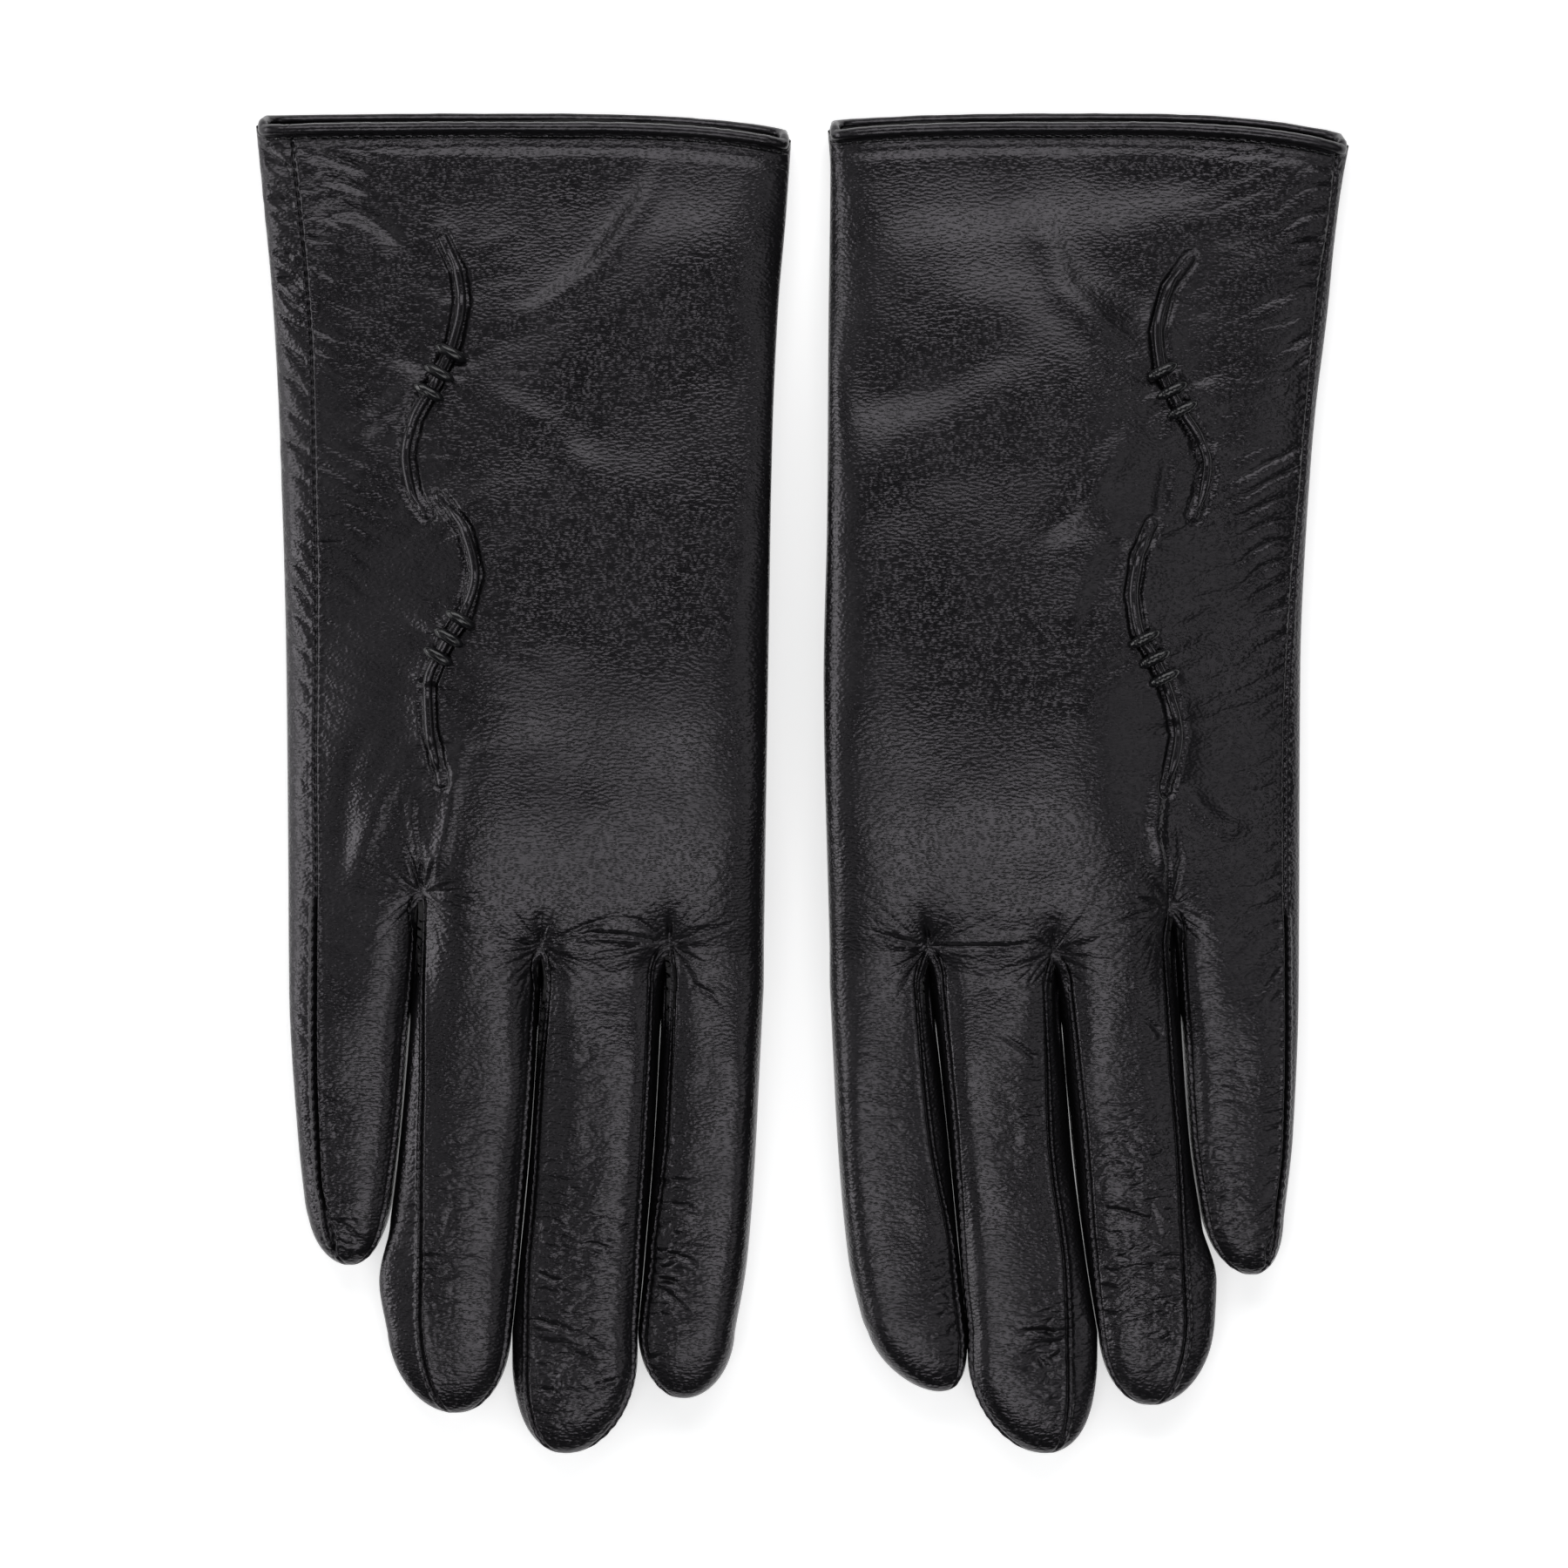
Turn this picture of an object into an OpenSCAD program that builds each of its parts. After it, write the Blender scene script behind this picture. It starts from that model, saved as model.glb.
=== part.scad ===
// A pair of slim lined leather dress gloves, laid side by side with their backs up.
// Each hand is a leather tube, lined, with a rolled edge at the cuff and two corded tucks on its back.
// The fingers are leather stalls closed at their sides by fourchettes, and hang on bands at the knuckles.
// X runs across the pair, Y from the fingertips to the cuffs and Z up, in millimetres.
// A glove is drawn with its own x running outwards from the line midway between the two gloves.

/* [Pair] */
// Gap between the two gloves at their cuffs
pair_gap = 6; // [4:0.5:40]

/* [Hand] */
// Length of the hand, from the edge of the cuff to the root of the middle finger
hand_length = 149; // [135:1:165]
// Width of the cuff laid flat
cuff_width = 94; // [86:1:104]
// Thickness of the hand laid flat
hand_thickness = 12; // [11:0.5:15]
// Thickness of the cuff laid flat
cuff_thickness = 10; // [9:0.5:14]
// Distance by which the palm side of the cuff shows past the back
hem_step = 2; // [0:0.5:4]

/* [Fingers] */
// Length of the index finger, from its root to its tip
index_length = 77; // [66:0.5:88]
// Length of the middle finger
middle_length = 88; // [76:0.5:100]
// Length of the ring finger
ring_length = 80.5; // [70:0.5:92]
// Length of the little finger
little_length = 63.5; // [54:0.5:74]
// Width of the index finger laid flat
index_width = 16.5; // [15:0.5:20]
// Width of the middle finger laid flat
middle_width = 20.5; // [17:0.5:23]
// Width of the ring finger laid flat
ring_width = 20; // [17:0.5:23]
// Width of the little finger laid flat
little_width = 22; // [18:0.5:24]
// Thickness of a finger at its root
finger_thickness = 12; // [11:0.5:14]
// Gap between neighbouring fingers at their roots
finger_gap = 1.2; // [1:0.1:3]
// Distance by which the little finger's root lies nearer the cuff
little_setback = 9; // [0:0.5:14]
// Lean of each finger away from the other glove, in degrees, from index to little
finger_lean = [5.5, 5, 3.8, 2]; // [0:0.1:8]
// Length of the leather that bends at each finger's root
knuckle_band = 12; // [11:0.5:15]

/* [Thumb] */
// Length of the folded thumb
thumb_length = 66; // [56:1:76]
// Width of the thumb laid flat
thumb_width = 23; // [20:0.5:26]
// Thickness of the thumb laid flat
thumb_thickness = 10; // [9:0.5:12]
// Diameter of the hole that joins the thumb to the palm
thumb_mouth = 18; // [14:0.5:19]
// Distance from the rim of that hole to the rounded heel of the thumb
thumb_heel = 4; // [2:0.5:8]
// Distance from the middle finger's root to the middle of the thumb hole
thumb_height = 76; // [70:1:82]
// Distance from the index edge of the hand to the side of the thumb
thumb_side = 2; // [0:0.5:6]
// Lean of the folded thumb across the palm, in degrees
thumb_lean = 8; // [0:1:14]

/* [Leather and lining] */
// Thickness of the leather
leather = 0.8; // [0.6:0.1:1.1]
// Thickness of the lining
lining = 1; // [0.7:0.1:1.2]

/* [Trim] */
// Diameter of the rolled edge round the cuff
binding_diameter = 2.4; // [1.8:0.1:3]
// Diameter of the cord in a tuck
cord_diameter = 1.6; // [1.2:0.1:2.2]
// Diameter of the thread in a wrap
wrap_diameter = 1.2; // [0.8:0.1:1.5]
// Half the width of a wrap where it meets the leather
wrap_reach = 2.4; // [2:0.1:3]
// Spacing of the wraps along the cord
wrap_spacing = 4.2; // [3.5:0.1:6]
// Length of one tuck along the hand
tuck_length = 46; // [38:0.5:50]
// Sideways swing of a tuck's wave
tuck_wave = 4.7; // [3:0.1:6]
// Distance from the edge of the cuff to the upper tuck
tuck_drop = 23; // [18:0.5:28]
// Distance from the middle of the hand to the upper tuck
upper_tuck_offset = 18.5; // [14:0.5:22]
// Distance from the middle of the hand to the lower tuck
lower_tuck_offset = 14.5; // [10:0.5:20]

/* [Hidden] */
SIDES = ["right", "left"];
FINGERS = ["index", "middle", "ring", "little"];
TUCKS = ["upper", "lower"];
HAND_PIECES = ["hand_leather", "hand_lining", "cuff_binding", "thumb_gusset", "thumb_stall", "thumb_lining"];
TUCK_PIECES = ["tuck_cord", "tuck_wraps"];
FINGER_PIECES = ["knuckle", "stall", "lining"];
FOURCHETTES = [
    ["index", "outer"],
    ["middle", "inner"],
    ["middle", "outer"],
    ["ring", "inner"],
    ["ring", "outer"],
    ["little", "inner"],
];

// Running clearance between neighbouring pieces, and the ease of the lining inside the leather
fit_gap = 0.3;
lining_ease = 0.15;

black_leather = "#252427";
black_lining = "#3b373b";
black_thread = "#1a191b";

finger_lengths = [index_length, middle_length, ring_length, little_length];
finger_widths = [index_width, middle_width, ring_width, little_width];
setbacks = [0, 0, 0, little_setback];

// Depths of the inner faces below the outer face of the leather
lining_outside = leather + lining_ease;
lining_inside = lining_outside + lining;

function total(values, count) = count <= 0 ? 0 : values[count - 1] + total(values, count - 1);
function smooth(low, high, x) = let (t = max(0, min(1, (x - low) / (high - low)))) t * t * (3 - 2 * t);
function signed_power(x, p) = sign(x) * pow(abs(x), p);

// Columns of points across the hand: each finger has its two crotches, two shoulders and its crown
column_steps = [0, 0.2, 0.5, 0.8, 1];
finger_columns = len(column_steps) - 1;
last_column = finger_columns * len(FINGERS);
palm_width = total(finger_widths, len(FINGERS)) + (len(FINGERS) - 1) * finger_gap;

function crotch_x(f) =
    f == 0 ? 0 : f == len(FINGERS) ? palm_width : total(finger_widths, f) + (f - 0.5) * finger_gap;
function column_finger(i) = min(floor(i / finger_columns), len(FINGERS) - 1);
function column_x(i) =
    let (f = column_finger(i))
    crotch_x(f) + column_steps[i - finger_columns * f] * (crotch_x(f + 1) - crotch_x(f));
function column_share(i) = column_x(i) / palm_width;
function is_crotch(i) = i % finger_columns == 0 && i > 0 && i < last_column;
function crown_column(f) = finger_columns * f + 2;

// Places along the hand: the pair is centred between its cuff edges and its middle fingertips
middle_reach = knuckle_band / 2 + cos(finger_lean[1]) * (middle_length - knuckle_band / 2);
knuckle_y = (middle_reach - hand_length) / 2;
shell_length = hand_length - binding_diameter - fit_gap / 2;
hand_stations = [0, 0.06, 0.16, 0.3, 0.46, 0.62, 0.78, 0.88, 1];

// The hand widens to the cuff, is propped up on the index side by the thumb and lies flat at the cuff
flare_power = 2.6;
inner_flare = 0.28;
prop_height = thumb_thickness + 2 * fit_gap;
prop_profile = [[0, 0.45], [0.06, 0.75], [0.16, 1], [0.62, 1], [0.78, 0.5], [0.88, 0], [1, 0]];
crown_power = 6;
flat_bottom = 1.12;
crotch_depth = 0.7;
crotch_run = 0.2;
least_depth = 0.12;

function flare(t) = pow(t, flare_power);
function hand_width(t) = palm_width + (cuff_width - palm_width) * flare(t);
function hand_x(share, t) =
    pair_gap / 2 + (cuff_width - palm_width) * inner_flare * (1 - flare(t)) + share * hand_width(t);
function hand_depth(t) = hand_thickness + (cuff_thickness - hand_thickness) * smooth(0.5, 0.9, t);
function hand_lift(share, t) = prop_height * lookup(t, prop_profile) * (1 - smooth(0.5, 1, share));
function hand_mid_z(share, t) = hand_lift(share, t) + hand_depth(t) / 2;
function crown(share) = sqrt(1 - pow(abs(2 * share - 1), crown_power));
function crotch_pinch(i, t) = is_crotch(i) ? 1 - crotch_depth * (1 - smooth(0, crotch_run, t)) : 1;

// One point of the hand, on its back or its palm, at a depth below the outer face
function hand_point(i, t, back, inset) =
    let (
        share = column_share(i),
        swell = back ? crown(share) : min(1, crown(share) * flat_bottom),
        half = hand_depth(t) / 2 * swell * crotch_pinch(i, t),
        height = max(half - inset, half * least_depth),
        edge = i == 0 ? inset : i == last_column ? -inset : 0,
        setback = setbacks[i >= finger_columns * 3 ? 3 : 0] * (1 - smooth(0, 0.3, t)),
        hem = hem_step * smooth(0.8, 1, t) * (half == 0 ? 0.5 : back ? 1 : 0)
    )
    [
        hand_x(share, t) + edge,
        knuckle_y + shell_length * t + setback - hem,
        hand_mid_z(share, t) + (back ? height : -height)
    ];

// One ring of the hand runs over the back from the index edge and returns across the palm
function hand_ring(t, inset) =
    concat(
        [for (i = [0 : last_column]) hand_point(i, t, true, inset)],
        [for (i = [last_column - 1 : -1 : 1]) hand_point(i, t, false, inset)]
    );
function hand_net(inset) = [for (t = hand_stations) hand_ring(t, inset)];

// Height of the back of the hand at a place on it
function back_z(x, y) =
    let (
        t = (y - knuckle_y) / shell_length,
        share = (x - hand_x(0, t)) / hand_width(t)
    )
    hand_mid_z(share, t) + hand_depth(t) / 2 * crown(share);

// A finger runs from the middle of its knuckle band to its tip, and settles on the table towards the tip
width_taper = 0.1;
depth_taper = 0.12;
section_power = 2 / 2.6;
tip_length = 0.55;
tip_depth_power = 0.7;
tip_turns = [30, 58, 80];
straight_stations = [0, 0.35, 0.7];
window_root = 36;
window_tip = 12;
side_steps = 2;
face_steps = 4;
fourchette_rows = len(straight_stations) + 1;
finger_tip_z = finger_thickness / 2 * (1 - depth_taper);

function finger_root(f) =
    let (share = column_share(crown_column(f)))
    [hand_x(share, 0), knuckle_y + setbacks[f] - knuckle_band / 2, hand_mid_z(share, 0)];
function finger_reach(f) = finger_lengths[f] - knuckle_band / 2;
function finger_point(f, d, x, z) =
    let (root = finger_root(f), lean = finger_lean[f])
    [
        root.x + sin(lean) * d + cos(lean) * x,
        root.y - cos(lean) * d + sin(lean) * x,
        root.z - (root.z - finger_tip_z) * d / finger_reach(f) + z
    ];

// Angles round a finger's section: the outer side, the back, the inner side and the palm
function section_angles(window) =
    let (side = 2 * window / side_steps, face = (180 - 2 * window) / face_steps)
    concat(
        [for (k = [0 : side_steps - 1]) -window + k * side],
        [for (k = [0 : face_steps - 1]) window + k * face],
        [for (k = [0 : side_steps - 1]) 180 - window + k * side],
        [for (k = [0 : face_steps - 1]) 180 + window + k * face]
    );
function section_point(angle, half_width, half_depth) =
    [
        half_width * signed_power(cos(angle), section_power),
        half_depth * signed_power(sin(angle), section_power)
    ];

// Stations along a finger as [share of the length, roundness left], ending in a quarter ellipse
function finger_stations(f) =
    let (shoulder = 1 - tip_length * finger_widths[f] / finger_reach(f))
    concat(
        [for (u = straight_stations) [u * shoulder, 1]],
        [[shoulder, 1]],
        [for (turn = tip_turns) [shoulder + (1 - shoulder) * sin(turn), cos(turn)]]
    );
function finger_ring(f, station, inset) =
    let (
        u = station[0],
        start = knuckle_band / 2,
        d = start + u * (finger_reach(f) - inset - start),
        half_width = (finger_widths[f] / 2 * (1 - width_taper * u) - inset) * station[1],
        half_depth = (finger_thickness / 2 * (1 - depth_taper * u) - inset) * pow(station[1], tip_depth_power),
        angles = section_angles(window_root + (window_tip - window_root) * u)
    )
    [
        for (angle = angles)
        let (p = section_point(angle, half_width, half_depth))
        finger_point(f, d, p.x, p.y)
    ];
function finger_net(f, inset) = [for (s = finger_stations(f)) finger_ring(f, s, inset)];

// Which patches of a finger's net belong to the outer or the inner fourchette
function on_outer(j, i) = i < side_steps && j < fourchette_rows;
function on_inner(j, i) =
    i >= side_steps + face_steps && i < 2 * side_steps + face_steps && j < fourchette_rows;

// The folded thumb lies on the table under the palm, rounded at both ends
thumb_base_round = 8;
thumb_turns = [80, 45];
thumb_taper = 0.15;
thumb_mouth_d = thumb_mouth / 2 + thumb_heel;
thumb_t = thumb_height / shell_length;
thumb_mouth_x = hand_x(0, thumb_t) + thumb_side + thumb_width / 2;
thumb_mouth_y = knuckle_y + thumb_height;
thumb_base_x = thumb_mouth_x - sin(thumb_lean) * thumb_mouth_d;
thumb_base_y = thumb_mouth_y + cos(thumb_lean) * thumb_mouth_d;
gusset_foot = thumb_thickness - 3;
gusset_top = prop_height + lining_inside + fit_gap;

function thumb_point(d, x, z) =
    [
        thumb_base_x + sin(thumb_lean) * d + cos(thumb_lean) * x,
        thumb_base_y - cos(thumb_lean) * d + sin(thumb_lean) * x,
        z
    ];
thumb_shoulder = 1 - tip_length * thumb_width / thumb_length;
thumb_stations = concat(
    [for (turn = thumb_turns) [thumb_base_round / thumb_length * (1 - sin(turn)), cos(turn)]],
    [[thumb_base_round / thumb_length, 1], [0.45, 1], [thumb_shoulder, 1]],
    [for (turn = tip_turns) [thumb_shoulder + (1 - thumb_shoulder) * sin(turn), cos(turn)]]
);
function thumb_ring(station, inset) =
    let (
        u = station[0],
        d = inset + u * (thumb_length - 2 * inset),
        full_depth = thumb_thickness / 2 * (1 - thumb_taper * u),
        half_width = (thumb_width / 2 * (1 - thumb_taper * u) - inset) * station[1],
        half_depth = (full_depth - inset) * pow(station[1], tip_depth_power),
        angles = section_angles(window_root)
    )
    [
        for (angle = angles)
        let (p = section_point(angle, half_width, half_depth))
        thumb_point(d, p.x, full_depth + p.y)
    ];
function thumb_net(inset) = [for (s = thumb_stations) thumb_ring(s, inset)];

// A tuck is one full wave along the hand, and its wraps sit round the middle of the wave
tuck_rings = 16;
cord_sides = 6;
arch_steps = 5;
hand_middle_x = hand_x(0.5, 0);
tuck_offsets = [upper_tuck_offset, lower_tuck_offset];
cord_lift = cord_diameter / 2 + fit_gap;
arch_height = cord_diameter + wrap_diameter / 2 + 1.5 * fit_gap;

function tuck_place(tuck, s) =
    [
        hand_middle_x + tuck_offsets[tuck] - tuck_wave * sin(360 * s),
        knuckle_y + hand_length - tuck_drop - tuck_length * (tuck + s)
    ];
function on_back(place, lift) = [place.x, place.y, back_z(place.x, place.y) + lift];
function tuck_path(tuck) = [for (k = [0 : tuck_rings]) on_back(tuck_place(tuck, k / tuck_rings), cord_lift)];
function wrap_path(tuck, k) =
    let (
        s = 0.5 + (k - 1) * wrap_spacing / tuck_length,
        step = 0.01,
        run = tuck_place(tuck, s + step) - tuck_place(tuck, s - step),
        across = [-run.y, run.x] / norm(run),
        middle = tuck_place(tuck, s)
    )
    [
        for (n = [0 : arch_steps])
        let (
            turn = 180 * n / arch_steps,
            place = middle + across * wrap_reach * cos(turn)
        )
        on_back(place, wrap_diameter / 2 + fit_gap + (arch_height - wrap_diameter / 2) * sin(turn))
    ];

// Index of a point in a net whose rings hold n points
function at(j, i, n) = j * n + i % n;

// A wall between an outer and an inner net, with a patch wherever keep says so.
// The last ring can be closed by a cap.
module sewn_wall(outer, inner, keep, cap_last = false) {
    n = len(outer[0]);
    rows = len(outer) - 1;
    below = n * len(outer);
    last = rows * n;
    function kept(j, i) = j >= 0 && j < rows && keep(j, (i + n) % n);
    function rim(a, b) =
        a < b
        ? [[a, b, b + below], [a, b + below, a + below]]
        : [[a, b, a + below], [b, b + below, a + below]];
    patches = [
        for (j = [0 : rows - 1], i = [0 : n - 1])
        if (kept(j, i))
        let (
            a = at(j, i, n),
            b = at(j, i + 1, n),
            c = at(j + 1, i + 1, n),
            d = at(j + 1, i, n)
        )
        each concat(
            [[a, c, b], [a, d, c]],
            [[a + below, b + below, c + below], [a + below, c + below, d + below]],
            kept(j - 1, i) ? [] : rim(a, b),
            kept(j + 1, i) || (j == rows - 1 && cap_last) ? [] : rim(c, d),
            kept(j, i + 1) ? [] : rim(b, c),
            kept(j, i - 1) ? [] : rim(d, a)
        )
    ];
    caps = [
        for (i = [1 : n - 2])
        each [
            [last, last + i + 1, last + i],
            [last + below, last + below + i, last + below + i + 1]
        ]
    ];
    polyhedron(
        points = concat([for (ring = outer) each ring], [for (ring = inner) each ring]),
        faces = concat(patches, cap_last ? caps : [])
    );
}

// A solid inside one net, with both of its end rings capped
module closed_form(net) {
    n = len(net[0]);
    rows = len(net) - 1;
    last = rows * n;
    patches = [
        for (j = [0 : rows - 1], i = [0 : n - 1])
        let (
            a = at(j, i, n),
            b = at(j, i + 1, n),
            c = at(j + 1, i + 1, n),
            d = at(j + 1, i, n)
        )
        each [[a, c, b], [a, d, c]]
    ];
    caps = [for (i = [1 : n - 2]) each [[0, i, i + 1], [last, last + i + 1, last + i]]];
    polyhedron(points = [for (ring = net) each ring], faces = concat(patches, caps));
}

// Rings of a round cord along a path, each square to the path
function cord_ring(path, k, radius, loop) =
    let (
        count = len(path),
        ahead = loop ? path[(k + 1) % count] : path[min(k + 1, count - 1)],
        behind = loop ? path[(k - 1 + count) % count] : path[max(k - 1, 0)],
        run = (ahead - behind) / norm(ahead - behind),
        up = loop ? [0, 1, 0] : [0, 0, 1],
        side = cross(run, up) / norm(cross(run, up)),
        top = cross(side, run)
    )
    [
        for (m = [0 : cord_sides - 1])
        let (turn = 360 * (m + 0.5) / cord_sides)
        path[k] + radius * (side * cos(turn) + top * sin(turn))
    ];

module cord(path, radius, loop = false) {
    n = cord_sides;
    count = len(path);
    rows = loop ? count : count - 1;
    faces = [
        for (j = [0 : rows - 1], i = [0 : n - 1])
        let (
            k = (j + 1) % count,
            a = at(j, i, n),
            b = at(j, i + 1, n),
            c = at(k, i + 1, n),
            d = at(k, i, n)
        )
        each [[a, b, c], [a, c, d]]
    ];
    last = (count - 1) * n;
    ends = [for (i = [1 : n - 2]) each [[0, i + 1, i], [last, last + i, last + i + 1]]];
    polyhedron(
        points = [for (k = [0 : count - 1]) each cord_ring(path, k, radius, loop)],
        faces = concat(faces, loop ? [] : ends)
    );
}

whole = function (j, i) true;

// Places one piece on the right or the left glove
module on_glove(side) {
    if (side == "right") mirror([1, 0, 0]) children();
    else children();
}

// The hole in the palm for the thumb, cut from the table up to the middle of the hand
module thumb_hole(low, high) {
    translate([thumb_mouth_x, thumb_mouth_y, low])
        cylinder(d = thumb_mouth + 2 * fit_gap, h = high - low, $fn = 48);
}

module hand_leather() {
    color(black_leather)
        difference() {
            sewn_wall(hand_net(0), hand_net(leather), whole);
            thumb_hole(0, prop_height + hand_thickness / 2);
        }
}

module hand_lining() {
    color(black_lining)
        difference() {
            sewn_wall(hand_net(lining_outside), hand_net(lining_inside), whole);
            thumb_hole(0, prop_height + hand_thickness / 2);
        }
}

module cuff_binding() {
    edge = hand_ring(1, binding_diameter / 2);
    color(black_leather)
        translate([0, binding_diameter / 2 + fit_gap / 2, 0])
            cord(edge, binding_diameter / 2, loop = true);
}

module thumb_gusset() {
    color(black_leather)
        translate([thumb_mouth_x, thumb_mouth_y, gusset_foot])
            difference() {
                cylinder(d = thumb_mouth, h = gusset_top - gusset_foot, $fn = 48);
                translate([0, 0, -1])
                    cylinder(d = thumb_mouth - 2 * leather, h = gusset_top - gusset_foot + 2, $fn = 48);
            }
}

// The thumb is a closed bag, hollowed by the same net set deeper, with the hole to the palm in its upper side
module thumb_bag(outside, inside) {
    difference() {
        closed_form(thumb_net(outside));
        closed_form(thumb_net(inside));
        thumb_hole(thumb_thickness / 2, prop_height);
    }
}

module thumb_stall() {
    color(black_leather)
        thumb_bag(0, leather);
}

module thumb_lining() {
    color(black_lining)
        thumb_bag(lining_outside, lining_inside);
}

module tuck_cord(tuck) {
    color(black_leather)
        cord(tuck_path(tuck), cord_diameter / 2);
}

module tuck_wraps(tuck) {
    color(black_thread)
        for (k = [0 : 2]) cord(wrap_path(tuck, k), wrap_diameter / 2);
}

// A band of leather from the end of the hand, which is square to Y, to the stall, which is square to the finger
module knuckle(f) {
    lean = finger_lean[f];
    root = finger_root(f);
    hand_end = knuckle_y + setbacks[f] - fit_gap;
    angles = section_angles(window_root);
    function half_section(inset) =
        [
            for (angle = angles)
            section_point(angle, finger_widths[f] / 2 - inset, finger_thickness / 2 - inset)
        ];
    function band(inset) =
        [
            [
                for (p = half_section(inset))
                finger_point(f, (root.y + sin(lean) * p.x - hand_end) / cos(lean), p.x, p.y)
            ],
            [for (p = half_section(inset)) finger_point(f, knuckle_band / 2 - fit_gap, p.x, p.y)]
        ];
    color(black_leather)
        sewn_wall(band(0), band(leather), whole);
}

module stall(f) {
    keep = function (j, i) !(f < 3 && on_outer(j, i)) && !(f > 0 && on_inner(j, i));
    color(black_leather)
        sewn_wall(finger_net(f, 0), finger_net(f, leather), keep, cap_last = true);
}

module finger_lining(f) {
    color(black_lining)
        sewn_wall(finger_net(f, lining_outside), finger_net(f, lining_inside), whole, cap_last = true);
}

module fourchette(f, side) {
    keep = side == "outer" ? function (j, i) on_outer(j, i) : function (j, i) on_inner(j, i);
    color(black_leather)
        sewn_wall(finger_net(f, 0), finger_net(f, leather), keep);
}

for (side = SIDES) {
    on_glove(side) hand_leather();
    on_glove(side) hand_lining();
    on_glove(side) cuff_binding();
    on_glove(side) thumb_gusset();
    on_glove(side) thumb_stall();
    on_glove(side) thumb_lining();
    for (t = [0 : len(TUCKS) - 1]) {
        tuck = str(side, "_", TUCKS[t]);
        on_glove(side) tuck_cord(t);
        on_glove(side) tuck_wraps(t);
    }
    for (f = [0 : len(FINGERS) - 1]) {
        finger = str(side, "_", FINGERS[f]);
        on_glove(side) knuckle(f);
        on_glove(side) stall(f);
        on_glove(side) finger_lining(f);
    }
    for (strip = FOURCHETTES) {
        name = str(side, "_", strip[0], "_", strip[1], "_fourchette");
        f = search([strip[0]], FINGERS)[0];
        on_glove(side) fourchette(f, strip[1]);
    }
}
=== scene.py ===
# %% [markdown]
# # A pair of black leather gloves
# Two slim, lined dress gloves lie side by side with their backs up. This lesson dresses the jointed model
# of the pair in leather: one skin over each hand, four finger stalls closed by side strips called
# fourchettes, a folded thumb, a rolled cuff edge and two wavy corded tucks. Every surface is worked out
# with numpy, in millimetres, and becomes a mesh in metres in the frame that the jointed model shares.

import bpy
import numpy as np
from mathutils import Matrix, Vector


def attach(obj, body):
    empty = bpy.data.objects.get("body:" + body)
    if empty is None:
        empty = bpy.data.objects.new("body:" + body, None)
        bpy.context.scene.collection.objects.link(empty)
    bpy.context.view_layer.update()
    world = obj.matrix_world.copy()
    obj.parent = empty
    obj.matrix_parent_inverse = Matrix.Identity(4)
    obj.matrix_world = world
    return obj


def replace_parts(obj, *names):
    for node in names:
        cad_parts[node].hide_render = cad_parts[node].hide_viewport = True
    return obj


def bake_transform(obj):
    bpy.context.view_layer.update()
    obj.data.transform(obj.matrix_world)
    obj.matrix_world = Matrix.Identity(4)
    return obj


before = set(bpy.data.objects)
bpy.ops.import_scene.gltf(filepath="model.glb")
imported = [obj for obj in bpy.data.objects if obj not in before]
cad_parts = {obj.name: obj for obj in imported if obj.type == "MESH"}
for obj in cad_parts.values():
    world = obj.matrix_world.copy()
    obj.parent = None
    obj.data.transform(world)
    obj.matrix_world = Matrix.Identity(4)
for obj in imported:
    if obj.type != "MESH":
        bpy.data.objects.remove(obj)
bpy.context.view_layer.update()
SIDES = ("right", "left")
MIRROR = {"right": -1, "left": 1}
FINGERS = ("index", "middle", "ring", "little")
MM = 0.001


def link(thing):
    """Puts an object into the scene."""
    bpy.context.scene.collection.objects.link(thing)
    return thing


# %% [markdown]
# ## Camera
# The picture is taken from straight above. A long lens far away keeps the perspective flat, as in a
# catalogue picture, so the camera stands high and its lens is worked out from the width that it has to see.

# %% Camera
PICTURE_WIDTH = 276.75
PICTURE_CENTRE = (-3.15, -0.3, 6)
CAMERA_HEIGHT = 3000
SENSOR = 36
FAR_CLIP = 20

camera_data = bpy.data.cameras.new("studio_camera")
camera_data.sensor_width = SENSOR
camera_data.lens = SENSOR * CAMERA_HEIGHT / PICTURE_WIDTH
camera_data.clip_end = FAR_CLIP
camera = link(bpy.data.objects.new("studio_camera", camera_data))
camera.location = [MM * v for v in np.add(PICTURE_CENTRE, (0, 0, CAMERA_HEIGHT))]
bpy.context.scene.camera = camera
bpy.context.scene.view_settings.view_transform = "Standard"
print("lens in mm:", round(camera_data.lens, 1))

# %% [markdown]
# ## Curves
# Cut leather has smooth edges, so an outline needs only a few points with an eased curve through them. A
# Blender curve could hold it, but a formula can be asked for the edge at any place along the glove.

# %% Curves
def smooth(low, high, x):
    """Eases from 0 at low to 1 at high, flat at both ends."""
    t = np.clip((x - low) / (high - low), 0, 1)
    return t * t * (3 - 2 * t)


def mix(a, b, share):
    """Goes from a to b as share goes from 0 to 1."""
    return a + (b - a) * share


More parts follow.
